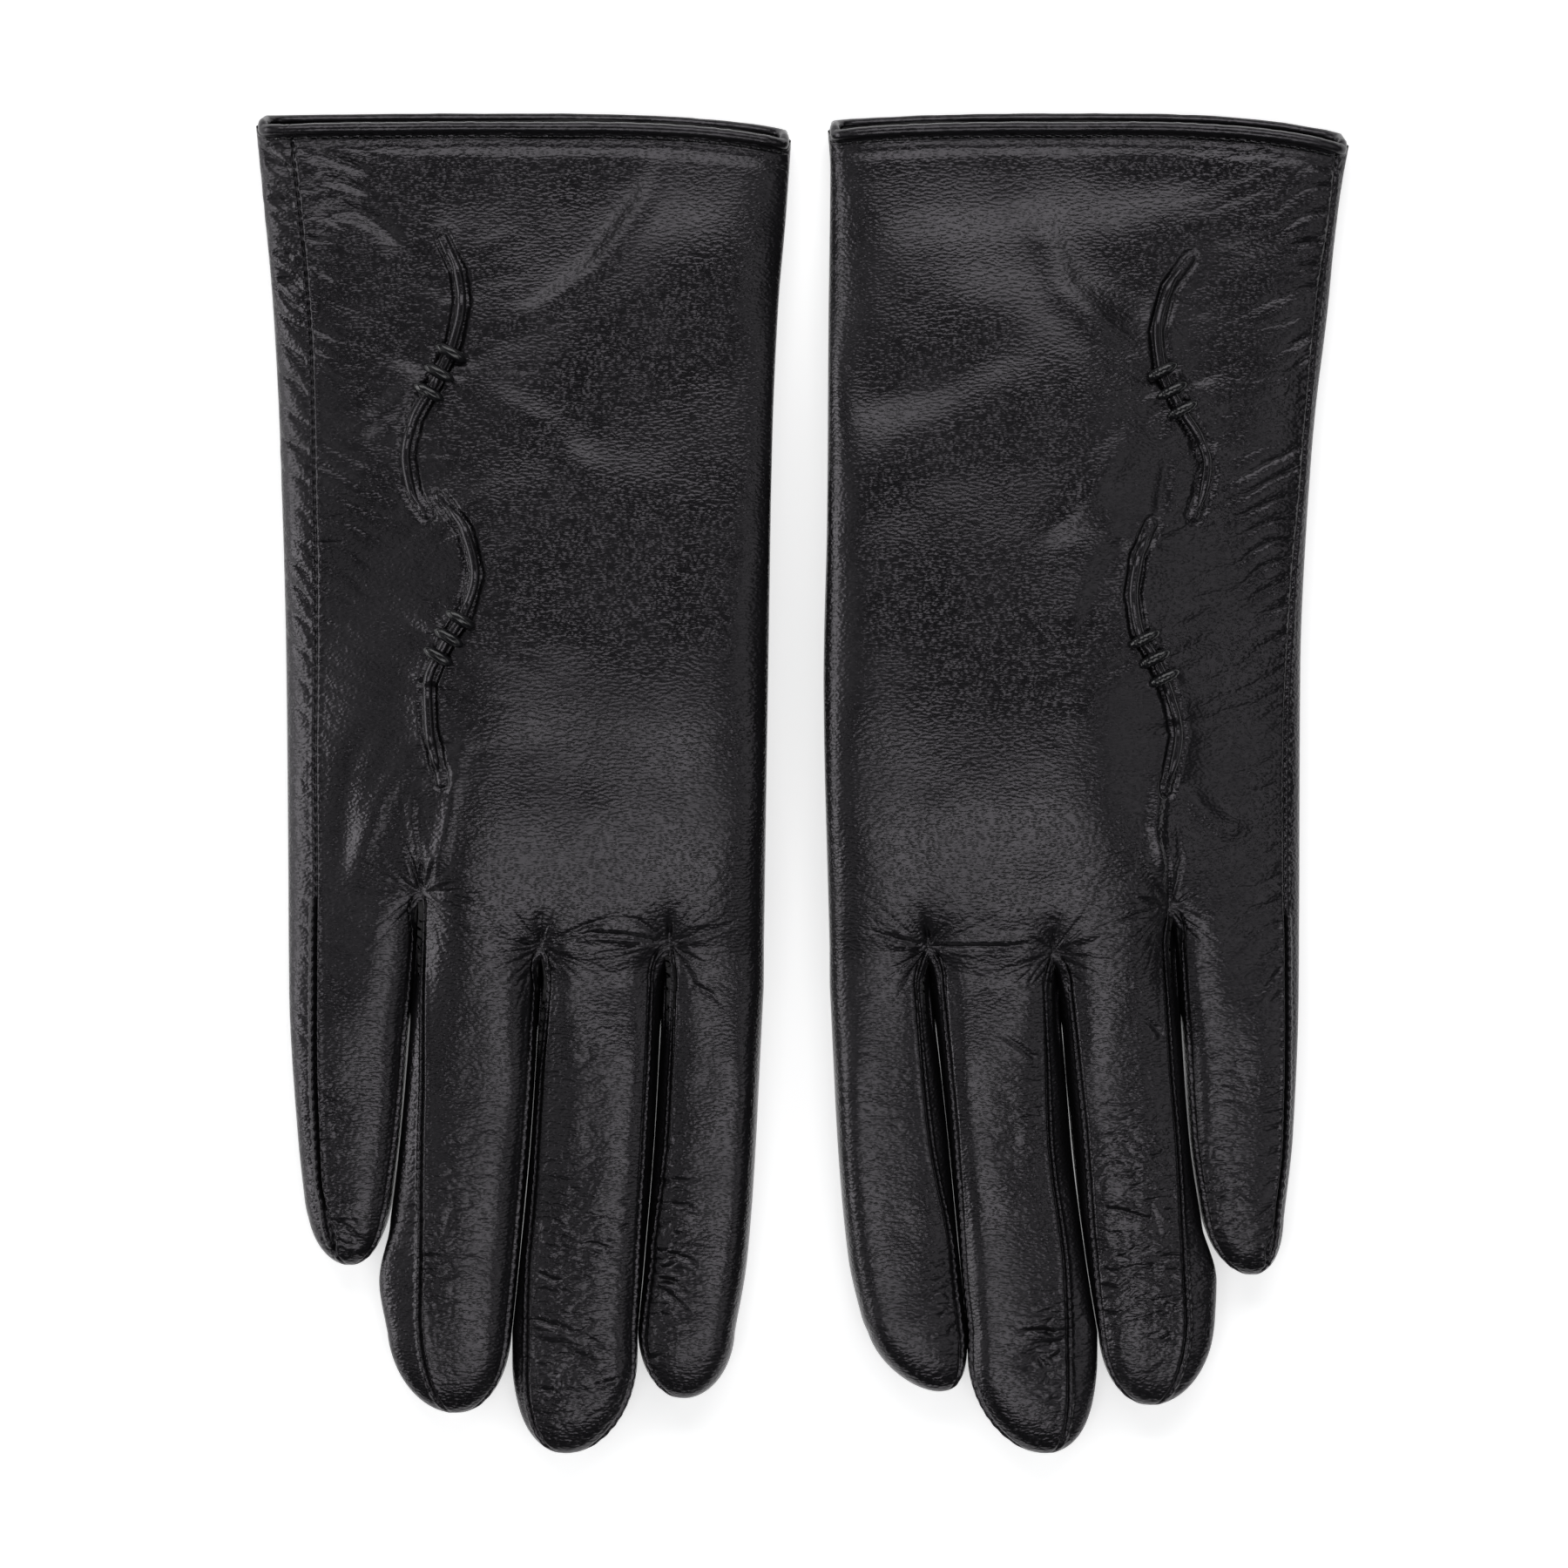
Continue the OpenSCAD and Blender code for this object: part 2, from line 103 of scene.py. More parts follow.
def through(keys, at):
    """Curve through (place, value) points in cubic pieces. A point's slope is the harmonic mean of its
    neighbours' slopes, or none at a turning point, so the curve never overshoots. It is level past the ends."""
    places, values = np.array(sorted(keys), float).T
    step = np.diff(places)
    slope = np.diff(values) / step
    before, after = slope[:-1], slope[1:]
    same_way = before * after > 0
    middle = np.where(same_way, 2 * before * after / np.where(same_way, before + after, 1), 0)
    turn = np.concatenate([slope[:1], middle, slope[-1:]])
    at = np.asarray(at, float)
    k = np.clip(np.searchsorted(places, at) - 1, 0, len(step) - 1)
    t = np.clip((at - places[k]) / step[k], 0, 1)
    start, end = values[k], values[k + 1]
    bend = t * (1 - t) * ((1 - t) * (step[k] * turn[k] - end + start) - t * (step[k] * turn[k + 1] - end + start))
    return mix(start, end, t) + bend


print("half way up an ease:", smooth(0, 1, 0.5), "half way along a curve:", through([(0, 0), (1, 1), (2, 0)], 0.5))

# %% [markdown]
# ## Hills and distances
# Creases and puckers need a little randomness that is the same on every run, so a seeded table of heights
# is eased into hills. Folds and tucks follow drawn paths, so the distance from a path is needed too.

# %% Hills and distances
HILL_TABLE = 128


def hills(x, y, seed):
    """Random hills between -1 and 1, about one unit apart: fixed heights at whole numbers, eased between."""
    table = np.random.default_rng(seed).uniform(-1, 1, (HILL_TABLE, HILL_TABLE))
    xi, yi = np.floor(x).astype(int), np.floor(y).astype(int)
    fx, fy = smooth(0, 1, x - xi), smooth(0, 1, y - yi)
    x0, x1, y0, y1 = (place % HILL_TABLE for place in (xi, xi + 1, yi, yi + 1))
    low = mix(table[x0, y0], table[x1, y0], fx)
    high = mix(table[x0, y1], table[x1, y1], fx)
    return mix(low, high, fy)


def bump(x, width):
    """A bell of height 1 at 0."""
    return np.exp(-((x / width) ** 2))


def mound(x, y, middle, size):
    """A bell of height 1 over a place, with its own size in x and in y."""
    return bump(np.hypot((x - middle[0]) / size[0], (y - middle[1]) / size[1]), 1)


def around(x, y, middle):
    """Distance and direction of each point from a place."""
    return np.hypot(x - middle[0], y - middle[1]), np.arctan2(y - middle[1], x - middle[0])


def near_path(path, x, y):
    """Distance of each point from a chain of straight steps, the nearest place along the chain, and the
    length of the chain, all in millimetres."""
    path = np.array(path, float)
    best, place, start = np.full(np.shape(x), np.inf), np.zeros(np.shape(x)), 0.0
    for a, b in zip(path[:-1], path[1:]):
        run = b - a
        length = np.hypot(*run)
        t = np.clip(((x - a[0]) * run[0] + (y - a[1]) * run[1]) / length**2, 0, 1)
        gap = np.hypot(x - a[0] - t * run[0], y - a[1] - t * run[1])
        place = np.where(gap < best, start + t * length, place)
        best = np.minimum(gap, best)
        start += length
    return best, place, start


print("height of one hill:", round(float(hills(np.array(3.0), np.array(4.0), 1)), 3))

# %% [markdown]
# ## The shapes of the two gloves
# Handmade gloves are never exact mirror images, so each glove has its own points. They are millimetres in
# the glove's own frame: x runs outwards from the line between the two gloves, from the index side to the
# little-finger side, and y from the fingertips to the cuff. An edge is a list of (y, x), the edges of a
# finger are its silhouette, and its seam is where the back meets the outer fourchette.

# %% Shapes
SHAPES = {
    "right": dict(
        inner=[(118, 1.6), (101, 2.7), (83, 4.2), (60, 5.2), (20, 5.9), (-30, 6.7)],
        outer=[(118, 96.6), (101, 94.9), (83, 93.3), (60, 92.1), (20, 91), (-22, 90.6)],
        hem_drops=(3.1, 0.5),
        crotches=[(23.3, -28.4), (45.9, -29), (66.9, -19.4)],
        side_seam=[(117, 90.4), (92, 87.7), (69, 86.2), (30, 85.6), (-46, 85.7), (-70, 85.1), (-80, 82.6)],
        fingers=dict(
            index=dict(
                inner=[(-36, 6.8), (-62, 8), (-84, 9.6), (-97, 11.8)],
                outer=[(-36, 23.2), (-62, 24.5), (-84, 27), (-97, 28.7)],
                seam=[(-36, 22.4), (-62, 23.5), (-84, 26.2), (-97, 27.5)],
                tip=(20.7, -108.7),
            ),
            middle=dict(
                inner=[(-36, 25.9), (-62, 27.4), (-84, 28.5), (-97, 29.2)],
                outer=[(-36, 45.4), (-62, 47.2), (-84, 49.5), (-97, 50.9)],
                seam=[(-36, 44.3), (-62, 46.3), (-84, 48), (-97, 48.5)],
                tip=(41.6, -118.4),
            ),
            ring=dict(
                inner=[(-36, 46.8), (-62, 48.3), (-84, 50.1), (-97, 51.4)],
                outer=[(-28, 67.6), (-36, 68.3), (-62, 70.6), (-77, 72.3), (-88, 74.6), (-97, 73.2)],
                seam=[(-28, 66.4), (-62, 66.9), (-97, 67.3)],
                tip=(61.3, -111.3),
            ),
            little=dict(
                inner=[(-28, 68.2), (-36, 68.8), (-62, 71), (-77, 73)],
                outer=[(-22, 90.6), (-36, 90.5), (-62, 89), (-77, 87.4)],
                tip=(79.9, -85.2),
            ),
        ),
        tucks=dict(
            upper=[(63.3, 95.8), (60.6, 90), (59.9, 84.5), (61.3, 77.5), (64.5, 70.5), (68.3, 63.7),
                   (69.7, 57.5), (68.6, 51), (66, 47.2)],
            lower=[(63.9, 50.4), (59.2, 44.2), (57.4, 36.5), (59.3, 29.8), (63, 23.8), (65.8, 17),
                   (65.5, 9.5), (63.4, 0)],
        ),
        wraps=dict(upper=[(61.8, 75.6), (63.8, 72), (65.6, 68.6)], lower=[(60, 28.6), (62, 25.4), (63.9, 22.1)]),
    ),
    "left": dict(
        inner=[(118, 4.3), (108, 5), (83, 4.7), (46, 4.4), (18, 3.8), (-30, 4.9)],
        outer=[(113, 96.7), (101, 94.6), (83, 92.8), (64, 90.5), (46, 89.1), (20, 88), (-22, 87.8)],
        hem_drops=(1.4, 4),
        crotches=[(22.2, -29.2), (44.2, -29.9), (64.6, -22)],
        side_seam=[(112, 94.6), (87, 91.4), (69, 89.4), (46, 87.4), (30, 86.2), (0, 85.1), (-39, 85.4),
                   (-62, 85.2), (-77, 83.7), (-82, 82.2)],
        fingers=dict(
            index=dict(
                inner=[(-36, 5), (-62, 6.2), (-84, 8.2), (-97, 11.2)],
                outer=[(-36, 21.4), (-62, 24.6), (-84, 27.6), (-97, 29)],
                seam=[(-36, 20.1), (-62, 22.4), (-84, 26.4), (-97, 27.6)],
                tip=(24.2, -107.5),
            ),
            middle=dict(
                inner=[(-36, 24.2), (-62, 26.8), (-84, 28.1), (-97, 29.4)],
                outer=[(-36, 43.7), (-62, 45.3), (-84, 49.1), (-97, 52)],
                seam=[(-36, 42.6), (-62, 43.5), (-84, 46.2), (-97, 47)],
                tip=(43, -118.4),
            ),
            ring=dict(
                inner=[(-36, 46.8), (-62, 49.5), (-84, 51.1), (-97, 52.4)],
                outer=[(-28, 65.4), (-36, 65.9), (-62, 68), (-77, 70.2), (-88, 73.2), (-97, 72.8)],
                seam=[(-28, 63.5), (-36, 63.9), (-62, 66), (-97, 67.9)],
                tip=(61.7, -109.9),
            ),
            little=dict(
                inner=[(-28, 66.6), (-36, 67.1), (-62, 68.6), (-77, 70.8)],
                outer=[(-22, 87.8), (-36, 87.7), (-62, 86.7), (-77, 85.1)],
                tip=(79.4, -86.9),
            ),
        ),
        tucks=dict(
            upper=[(68.2, 92), (64.6, 87), (62.6, 79.5), (63.4, 72.3), (66.8, 65.5), (69.9, 60.6),
                   (71.3, 56), (70.6, 51), (69.1, 46.7)],
            lower=[(61.7, 45.4), (59.2, 39.5), (58.2, 33), (59.2, 26.5), (62, 21.7), (64.6, 15.5),
                   (66.2, 8.5), (64.2, -1.4)],
        ),
        wraps=dict(upper=[(63.4, 72.3), (65.1, 68.9), (66.9, 65.5)], lower=[(60.2, 25.2), (62, 21.7), (63.7, 18.3)]),
    ),
}
print("outline points:", sum(len(shape["inner"]) + len(shape["outer"]) for shape in SHAPES.values()))

# %% [markdown]
# ## The skin of a hand
# Back and palm are one piece of leather, a flattened tube. It lies flat at the cuff and rides up over the
# folded thumb on the index side. The tube could be sculpted, but as a formula any point can be asked for
# its height, and the tucks and stitches are then laid on it exactly.

# %% Heights of the hand
PROP_HEIGHT = 10.6
PROP_FINGERS = [(-118, 0), (-75, 0.16), (-37, 0.45), (-20, 0.74), (-2, 0.95), (14, 1)]
PROP_CUFF = {
    "right": [(48, 1), (58, 0.93), (70, 0.77), (82, 0.57), (94, 0.36), (106, 0.15), (118, 0)],
    "left": [(50, 1), (62, 0.95), (72, 0.8), (82, 0.57), (92, 0.31), (102, 0.1), (112, 0.01), (118, 0)],
}
PROP_ARCH, PROP_MIDDLE, PROP_WANDER = 40, 0.38, 8
HAND_HALF, CUFF_HALF = 6, 5

for side in SIDES:
    SHAPES[side]["prop"] = PROP_FINGERS + PROP_CUFF[side]


def half_depth(y):
    """Half the thickness of the hand, a little thinner at the cuff."""
    return mix(HAND_HALF, CUFF_HALF, smooth(43, 101, y))


def lift(share):
    """How much of the thumb's height reaches a place across the hand: all on the index half, none at the edge."""
    return 1 - smooth(0.5, 1, share)


def middle_height(shape, share, y):
    """Height of the middle of the leather tube. The raised part ends in an arch across the hand, and a slow
    wander keeps its slopes from looking ruled."""
    arch = PROP_ARCH * (share - PROP_MIDDLE) ** 2 * smooth(10, 50, y)
    wander = PROP_WANDER * hills(share * 2.6 + 7, y / 45 + 9, 2) * smooth(-25, 15, y)
    return half_depth(y) + PROP_HEIGHT * lift(share) * through(shape["prop"], y + arch + wander)


over_thumb = [middle_height(SHAPES[side], np.array(0.3), np.array(30.0)) for side in SIDES]
print("height of the middle over the thumbs:", np.round(over_thumb, 1).tolist())

# %% [markdown]
# ## Shoulders between the fingers
# Where two fingers part, the leather of the back turns down into the crotch. The dip could be modelled with
# the fingers, but as part of the hand's formula it lets the hand end in the shape that the fingers begin in.

# %% Crotches
SECTION_POWER = 2.6
CROTCH_SHARE, CROTCH_SPAN = 0.832, 10


def width_at(shape, y):
    """Inner edge and width of the hand at a place along it."""
    inner = through(shape["inner"], y)
    return inner, through(shape["outer"], y) - inner


def crotch_shares(shape):
    """Shares across the hand of its index edge, its three crotches and its outer edge, and their y."""
    x, y = np.array(shape["crotches"], float).T
    inner, width = width_at(shape, y)
    shares = np.concatenate([[0], (x - inner) / width, [1]])
    return shares, np.concatenate([y[:1], y, y[-1:]])


def join_y(shape, share):
    """Where the hand ends and the fingers begin: straight from crotch to crotch."""
    return np.interp(share, *crotch_shares(shape))


def crotch_dip(shape, share, y):
    """Share of the height that is lost beside a crotch: a finger's round shoulder, which dies out up the hand."""
    inner, width = width_at(shape, y)
    x = inner + share * width
    shares, _ = crotch_shares(shape)
    nearest = np.min([np.abs(x - inner - s * width) for s in shares[1:4]], axis=0)
    across = CROTCH_SHARE * np.clip(1 - nearest / CROTCH_SPAN, 0, 1)
    shoulder = 1 - (1 - across**SECTION_POWER) ** (1 / SECTION_POWER)
    above = y - join_y(shape, share)
    return shoulder * (0.7 * bump(above, 4) + 0.3 * bump(above, 12))


print("crotches across the hand:", [crotch_shares(SHAPES[side])[0][1:4].round(2).tolist() for side in SIDES])

# %% [markdown]
# ## Back, palm and hem
# Across the hand the leather is flat on both sides and tight at its two folded edges, which is a superellipse.
# On the right glove the empty back sags a little behind the thumb. The hem droops towards both edges, and the
# palm ends a little past the back, so its edge shows from above.

# %% Back, palm and hem
EDGE_POWER = 6
BACK_SAG = {
    "right": [(24, 0), (42, 0.1), (60, 0.18), (80, 0.12), (100, 0.03), (118, 0)],
    "left": [(24, 0), (118, 0)],
}
HEM_BACK, HEM_PALM = 115.4, 117.3
DROOP_POWER, CORNER_POWER = 3, 120

for side in SIDES:
    SHAPES[side]["sag"] = BACK_SAG[side]


def hand_surface(shape, share, y, back):
    """Points of the skin: across by share, along by y, and up or down from the middle by a superellipse. The
    empty back sags a little behind the thumb."""
    inner, width = width_at(shape, y)
    crown = np.sqrt(np.clip(1 - np.abs(2 * share - 1) ** EDGE_POWER, 0, 1))
    rise = half_depth(y) * crown * (1 - crotch_dip(shape, share, y))
    sag = PROP_HEIGHT * lift(share) * through(shape["sag"], y) / half_depth(y)
    z = middle_height(shape, share, y) + np.where(back, rise * (1 - sag), -rise)
    return np.stack([inner + share * width, y, z], axis=-1)


def hem_y(shape, share, back):
    """End of the leather at the cuff. The hem droops to both edges, and the back ends short of the palm."""
    off = 2 * share - 1
    drop = np.where(off < 0, shape["hem_drops"][0], shape["hem_drops"][1]) * np.abs(off) ** DROOP_POWER
    level = (HEM_BACK + HEM_PALM) / 2
    edge = np.abs(off) ** CORNER_POWER
    return mix(np.where(back, HEM_BACK, HEM_PALM), level, edge) - drop


print("hem at the middle of back and palm:", HEM_BACK, HEM_PALM)

# %% [markdown]
# ## Folds of the back
# Thin leather tells how it was sewn and how it lies: an empty back has broad hills and slanting folds. They
# could be sculpted or come from a cloth simulation, but formulas in x and y put each fold where it belongs,
# and the relief of the hand can then run on into the fingers.

# %% Folds of the back
BROAD_HILLS = {
    "right": [
        ((20, 92), (15, 12), 1.2), ((38, 60), (16, 12), -0.9), ((22, 20), (14, 22), 0.9), ((78, 70), (9, 22), 0.6),
        ((42, 100), (10, 12), -0.7), ((46, 8), (10, 14), -0.6), ((78, 8), (8, 16), 0.8), ((14, 62), (9, 10), 0.5),
    ],
    "left": [
        ((22, 95), (14, 13), 1.2), ((30, 45), (15, 18), -1.1), ((38, 0), (16, 18), 1.3), ((12, 72), (9, 10), -0.7),
        ((46, 78), (8, 18), 0.8), ((80, 70), (8, 24), 0.5), ((14, 20), (8, 18), 0.5), ((66, 98), (22, 7), 1.3),
    ],
}
FOLDS = {
    "right": [
        ([(23.1, 113.6), (28, 102), (35.7, 91), (46, 83), (57, 79.5)], 2, 0.4),
        ([(30, 112), (33, 100), (44, 88)], 4, -0.2),
        ([(66, 72), (74, 64), (82, 61)], 2, 0.45),
        ([(58, 70), (44, 62), (34, 50)], 3, 0.45),
        ([(66.4, 9), (67.4, 7.1), (73.1, -0.9), (75.7, -7.6), (79.1, -15.9), (80.5, -20)], 2.2, 0.36),
        ([(73, 15), (74.8, 11.4), (78.8, 4.1), (80.5, -4.9), (81.1, -14.9), (81, -22)], 2, -0.26),
        ([(58.6, 12), (59.7, 6.8), (61.1, -0.9), (62.4, -7.6), (64.1, -14.9), (65.8, -20)], 1.4, 0.26),
        ([(68.5, 0), (68.8, -6.3), (67.4, -11.2), (66.8, -16)], 0.8, 0.16),
        ([(88.7, 110.5), (85.1, 110.5), (81.6, 109.5), (77.7, 108.1), (75.3, 106.7)], 1.1, -0.55),
        ([(87.1, 105.9), (83.3, 106.2), (79.9, 105.6), (77.2, 104.2), (75.3, 103.2)], 1.1, -0.55),
        ([(86.8, 100.4), (82.6, 100.7), (78.3, 100.7), (75, 98.7), (72.2, 96), (70, 93.5)], 1.6, -0.7),
        ([(86.2, 90.1), (83.8, 89.7), (81.6, 88.3)], 0.7, -0.3),
        ([(94.8, 110), (92.3, 108.7), (89.6, 107.3)], 0.8, -0.5),
        ([(94.8, 103.2), (91.4, 102.3), (88.9, 100.7)], 0.8, -0.5),
        ([(94.2, 93.8), (89.3, 92.2)], 0.8, -0.5),
        ([(93.4, 88.9), (90.1, 88.1), (87.6, 85.9)], 0.8, -0.5),
    ],
    "left": [
        ([(58, 76), (46, 86), (40, 104)], 3, 0.6),
        ([(6, 64), (24, 70), (44, 80)], 4.5, -0.5),
        ([(60, 64), (50, 50), (40, 40)], 3, 0.5),
        ([(60, 45), (54, 38), (48, 22)], 2.6, -0.5),
        ([(63, 2), (62, -8), (64.2, -18)], 1.2, 0.5),
        ([(66, 0), (74, -8), (80, -9)], 1.8, 0.35),
        ([(62.5, 45.5), (62.9, 47.2), (63.6, 52), (64.3, 56.5), (64.6, 59)], 1.3, -0.3),
        ([(60.5, 42.5), (62.2, 43.3), (65.5, 44.8), (69.5, 46.8), (72, 47.5)], 1, 0.2),
    ],
}
HILL_SCALE, FOLD_SCALE = 1.3, 1.4


def fold_relief(side, x, y):
    """Slow dents everywhere, a bell at each broad hill, and a round ridge or valley along each fold, which
    fades out at both ends."""
    relief = 0.4 * hills(x / 15, y / 17, 41) + 0.1 * hills(x / 6, y / 6, 43)
    for middle, size, height in BROAD_HILLS[side]:
        relief = relief + HILL_SCALE * height * mound(x, y, middle, size)
    for path, width, height in FOLDS[side]:
        gap, place, length = near_path(path, x, y)
        share = place / length
        ridge = FOLD_SCALE * height * bump(gap, width)
        relief = relief + ridge * smooth(0, 0.3, share) * smooth(1, 0.7, share)
    return relief


print("folds:", {side: len(FOLDS[side]) for side in SIDES})

# %% [markdown]
# ## Side seam
# The back is sewn to the palm along the little-finger side, and the pull of the thread puckers thin leather
# on both sides of the seam. The puckers are round ridges with sharp valleys, strong near the cuff.

# %% Side seam
STITCH = 1.75
PUCKERS = {
    "right": dict(apart=4.6, apart_outside=5.2, height=0.75, height_outside=1.1),
    "left": dict(apart=4.2, apart_outside=3.2, height=1.3, height_outside=0.15),
}
RIPPLE_LEVEL = 0.6
SEAM_BEAD, SEAM_GROOVE = 0.35, 0.24
INSIDE_SLANT, OUTSIDE_SLANT = 0.42, 0.65


def ripples(u, seed):
    """Round ridges with sharp valleys between them, about two units apart, above and below a level of 0."""
    return np.sqrt(np.abs(np.sin(np.pi * (u / 2 + 0.35 * hills(u / 5, 0 * u + seed, seed))))) - RIPPLE_LEVEL


def side_seam_relief(side, shape, x, y):
    """A groove with a stitched bead on each side of it along the side seam. Puckers run out from it and slope
    down towards the middle of the hand."""
    off = x - through(shape["side_seam"], y)
    pucker = PUCKERS[side]
    stitches = 0.5 + 0.5 * np.sin(2 * np.pi * y / STITCH)
    groove = 0.24 * bump(off + 0.6, SEAM_BEAD) * stitches + 0.16 * bump(off - 0.55, SEAM_BEAD) * stitches
    groove = groove - mix(0.3, 0.6, stitches) * bump(off, SEAM_GROOVE)
    pull = 0.3 + 0.7 * smooth(5, 45, y)
    slant = y - INSIDE_SLANT * off + 1.6 * hills(off / 5 + 3, y / 9, 4)
    inside = ripples(2 * slant / pucker["apart"], 5) * np.exp(off / 9) * smooth(0, -1.2, off)
    inside = inside + 0.3 * ripples(3.3 * slant / pucker["apart"], 3) * np.exp(off / 3) * smooth(0, -1.2, off)
    steep = y - OUTSIDE_SLANT * off + 0.8 * hills(off / 3, y / 5, 9)
    outside = ripples(2 * steep / pucker["apart_outside"], 7) * smooth(0.4, 1.6, off)
    inside = inside * np.clip(0.55 + 0.8 * hills(off / 8, y / 7, 6), 0.05, 1.2)
    outside = outside * (0.6 + 0.4 * hills(off / 4, y / 6, 8))
    return groove + pull * (pucker["height"] * inside + pucker["height_outside"] * outside)


print("millimetres from pucker to pucker:", {side: PUCKERS[side]["apart"] for side in SIDES})

# %% [markdown]
# ## Creases
# Leather that has been worn keeps sharp creases where the fingers part and where they bend. Each is a few
# listed points, because no two are alike, and fine random creases fan out from the crotches.

# %% Creases
CREASES = {
    "right": [
        ([(23, -28.2), (21.8, -28), (14.6, -25.7), (9.3, -23.7)], 0.32), ([(23, -28), (20, -26.2), (13.5, -25)], 0.24),
        ([(23.4, -28), (23, -24)], 0.2), ([(23.6, -28), (28.6, -24.3), (34.3, -23.3)], 0.26),
        ([(23.6, -28.3), (31, -26.9), (37.6, -26.5), (40.9, -27.4), (45.6, -28.9)], 0.4),
        ([(27.8, -28.6), (37.6, -28.4)], 0.16), ([(46.2, -28.8), (51.5, -27.6)], 0.2),
        ([(45.9, -28.6), (45.9, -24.5)], 0.18), ([(44, -27.8), (38, -25.2), (30, -22.6)], 0.2),
        ([(67, -19.2), (68.8, -13.4), (70.8, -8.5)], 0.5), ([(66.8, -19), (66.7, -12.6), (68.3, -5.2)], 0.3),
        ([(67.2, -19.4), (72, -16.4)], 0.3), ([(66.5, -19.2), (61, -19.8), (55, -22.5)], 0.2),
        ([(66.6, -19), (63.6, -12)], 0.3), ([(20, -35.2), (16, -37.2), (12.6, -40.5)], 0.25),
        ([(23.4, -70.1), (20.4, -70.2), (17.4, -69.8)], 0.25), ([(23.8, -74.3), (20.4, -74.5), (17.1, -76.2)], 0.3),
        ([(23.4, -79.4), (21.6, -79.7), (19.8, -79.2)], 0.3),
        ([(24.7, -82.9), (21.9, -83.5), (19.2, -84.4), (17.4, -85.9)], 0.5),
        ([(25.6, -87.4), (22.8, -88), (20.7, -89.9), (19.2, -91.3)], 0.6),
        ([(25, -89.9), (22.5, -91.1), (20.4, -93.2), (18.9, -94.7)], 0.5), ([(27.4, -101.4), (25, -101.7)], 0.4),
        ([(27.1, -103.5), (25.3, -103.2)], 0.3), ([(29.8, -73.6), (33.2, -74)], 0.2),
        ([(29.8, -77.6), (32.6, -78.9)], 0.2), ([(38.7, -81.3), (36.2, -81.3), (33.8, -82.3), (31.4, -82.3)], 0.4),
        ([(38.1, -80.1), (35, -80.3), (33.2, -80.1)], 0.25),
        ([(47.2, -86.2), (44.7, -87.4), (42.3, -88), (40.5, -88.2)], 0.45),
        ([(47.5, -94.4), (44.7, -95.6), (41.4, -96.2), (39.3, -98.7)], 0.5),
        ([(47.8, -102.9), (45, -102.9), (42, -101.6)], 0.4),
        ([(47.2, -107.2), (44.1, -107.5), (41.7, -109), (39.6, -109.5)], 0.45),
        ([(32, -105), (35, -106.2), (38.1, -107)], 0.35), ([(32, -109.6), (33.8, -110.5)], 0.3),
    ],
    "left": [
        ([(21.9, -29), (16.5, -27.6), (11.5, -25.9), (9.6, -25.2)], 0.4),
        ([(22.4, -28.8), (21.5, -25), (20.8, -20)], 0.26), ([(21.8, -28.8), (18.8, -26)], 0.2),
        ([(22.6, -29), (28, -28.9), (36, -28.9), (41, -28.3), (43.8, -29.7)], 0.42), ([(44, -29.6), (39, -26.6)], 0.2),
        ([(44.3, -29.5), (44.3, -24)], 0.2), ([(44.6, -29.8), (50, -28), (54.5, -26.2)], 0.36),
        ([(64.3, -21.8), (58.5, -23.4), (54, -25.6)], 0.36), ([(64.4, -21.8), (57.8, -20.4)], 0.34),
        ([(64.5, -21.6), (60.4, -16), (57.4, -10)], 0.32), ([(64.7, -21.6), (64.2, -14), (61.6, -5)], 0.32),
        ([(64.9, -21.6), (66.6, -14), (66, -4)], 0.26), ([(65, -21.9), (69, -20.5)], 0.24),
        ([(63.7, -45), (61.5, -42.5), (58.6, -41)], 0.3), ([(41.6, -49), (38, -46.2), (33.6, -43.5)], 0.3),
        ([(53, -75.2), (55.7, -75.3), (58.5, -76.2), (61.2, -77), (64.5, -76.9)], 0.5),
        ([(65.6, -75.3), (63.1, -75.8)], 0.3), ([(54.9, -83.7), (59, -83.9)], 0.35),
        ([(52.7, -86.2), (55.7, -86.3)], 0.3), ([(58.5, -85.1), (61.7, -86.2)], 0.25),
        ([(52.4, -88.9), (56.2, -89.3)], 0.3), ([(53, -93.6), (55.7, -94.3)], 0.35),
        ([(65.6, -97), (64.2, -98), (62.6, -98.8)], 0.4), ([(67, -93), (62.8, -91.6)], 0.2),
        ([(45.6, -97.5), (42.8, -96.6), (40.3, -96.6), (36.5, -96.9)], 0.5),
        ([(44.4, -103.6), (42.8, -102.9), (41.7, -101.3), (40.1, -100.4)], 0.45),
        ([(46.4, -100.1), (44.7, -101.3), (42.8, -101.6)], 0.45),
        ([(46.1, -109.1), (44.2, -108.9), (42.5, -109.5)], 0.45), ([(45.6, -104.9), (43.4, -105.9)], 0.35),
        ([(45.3, -93), (41.1, -93.3)], 0.2),
    ],
}
CREASE_SCALE, CREASE_WIDTH = 1.3, 0.36
CREASE_LIP, CREASE_LIP_PLACE, CREASE_LIP_WIDTH = 0.4, 0.9, 0.5


def crease_relief(side, x, y):
    """Sharp valleys with a low lip on each side along the drawn creases, deepest near the first point
    and gone at the last one."""
    relief = np.zeros(np.shape(x))
    for path, depth in CREASES[side]:
        gap, place, length = near_path(path, x, y)
        fade = smooth(0, 1.5, place) * smooth(length, 0.35 * length, place)
        lip = CREASE_LIP * np.exp(-np.abs(gap - CREASE_LIP_PLACE) / CREASE_LIP_WIDTH)
        relief += CREASE_SCALE * depth * fade * (lip - np.exp(-gap / CREASE_WIDTH))
    return relief


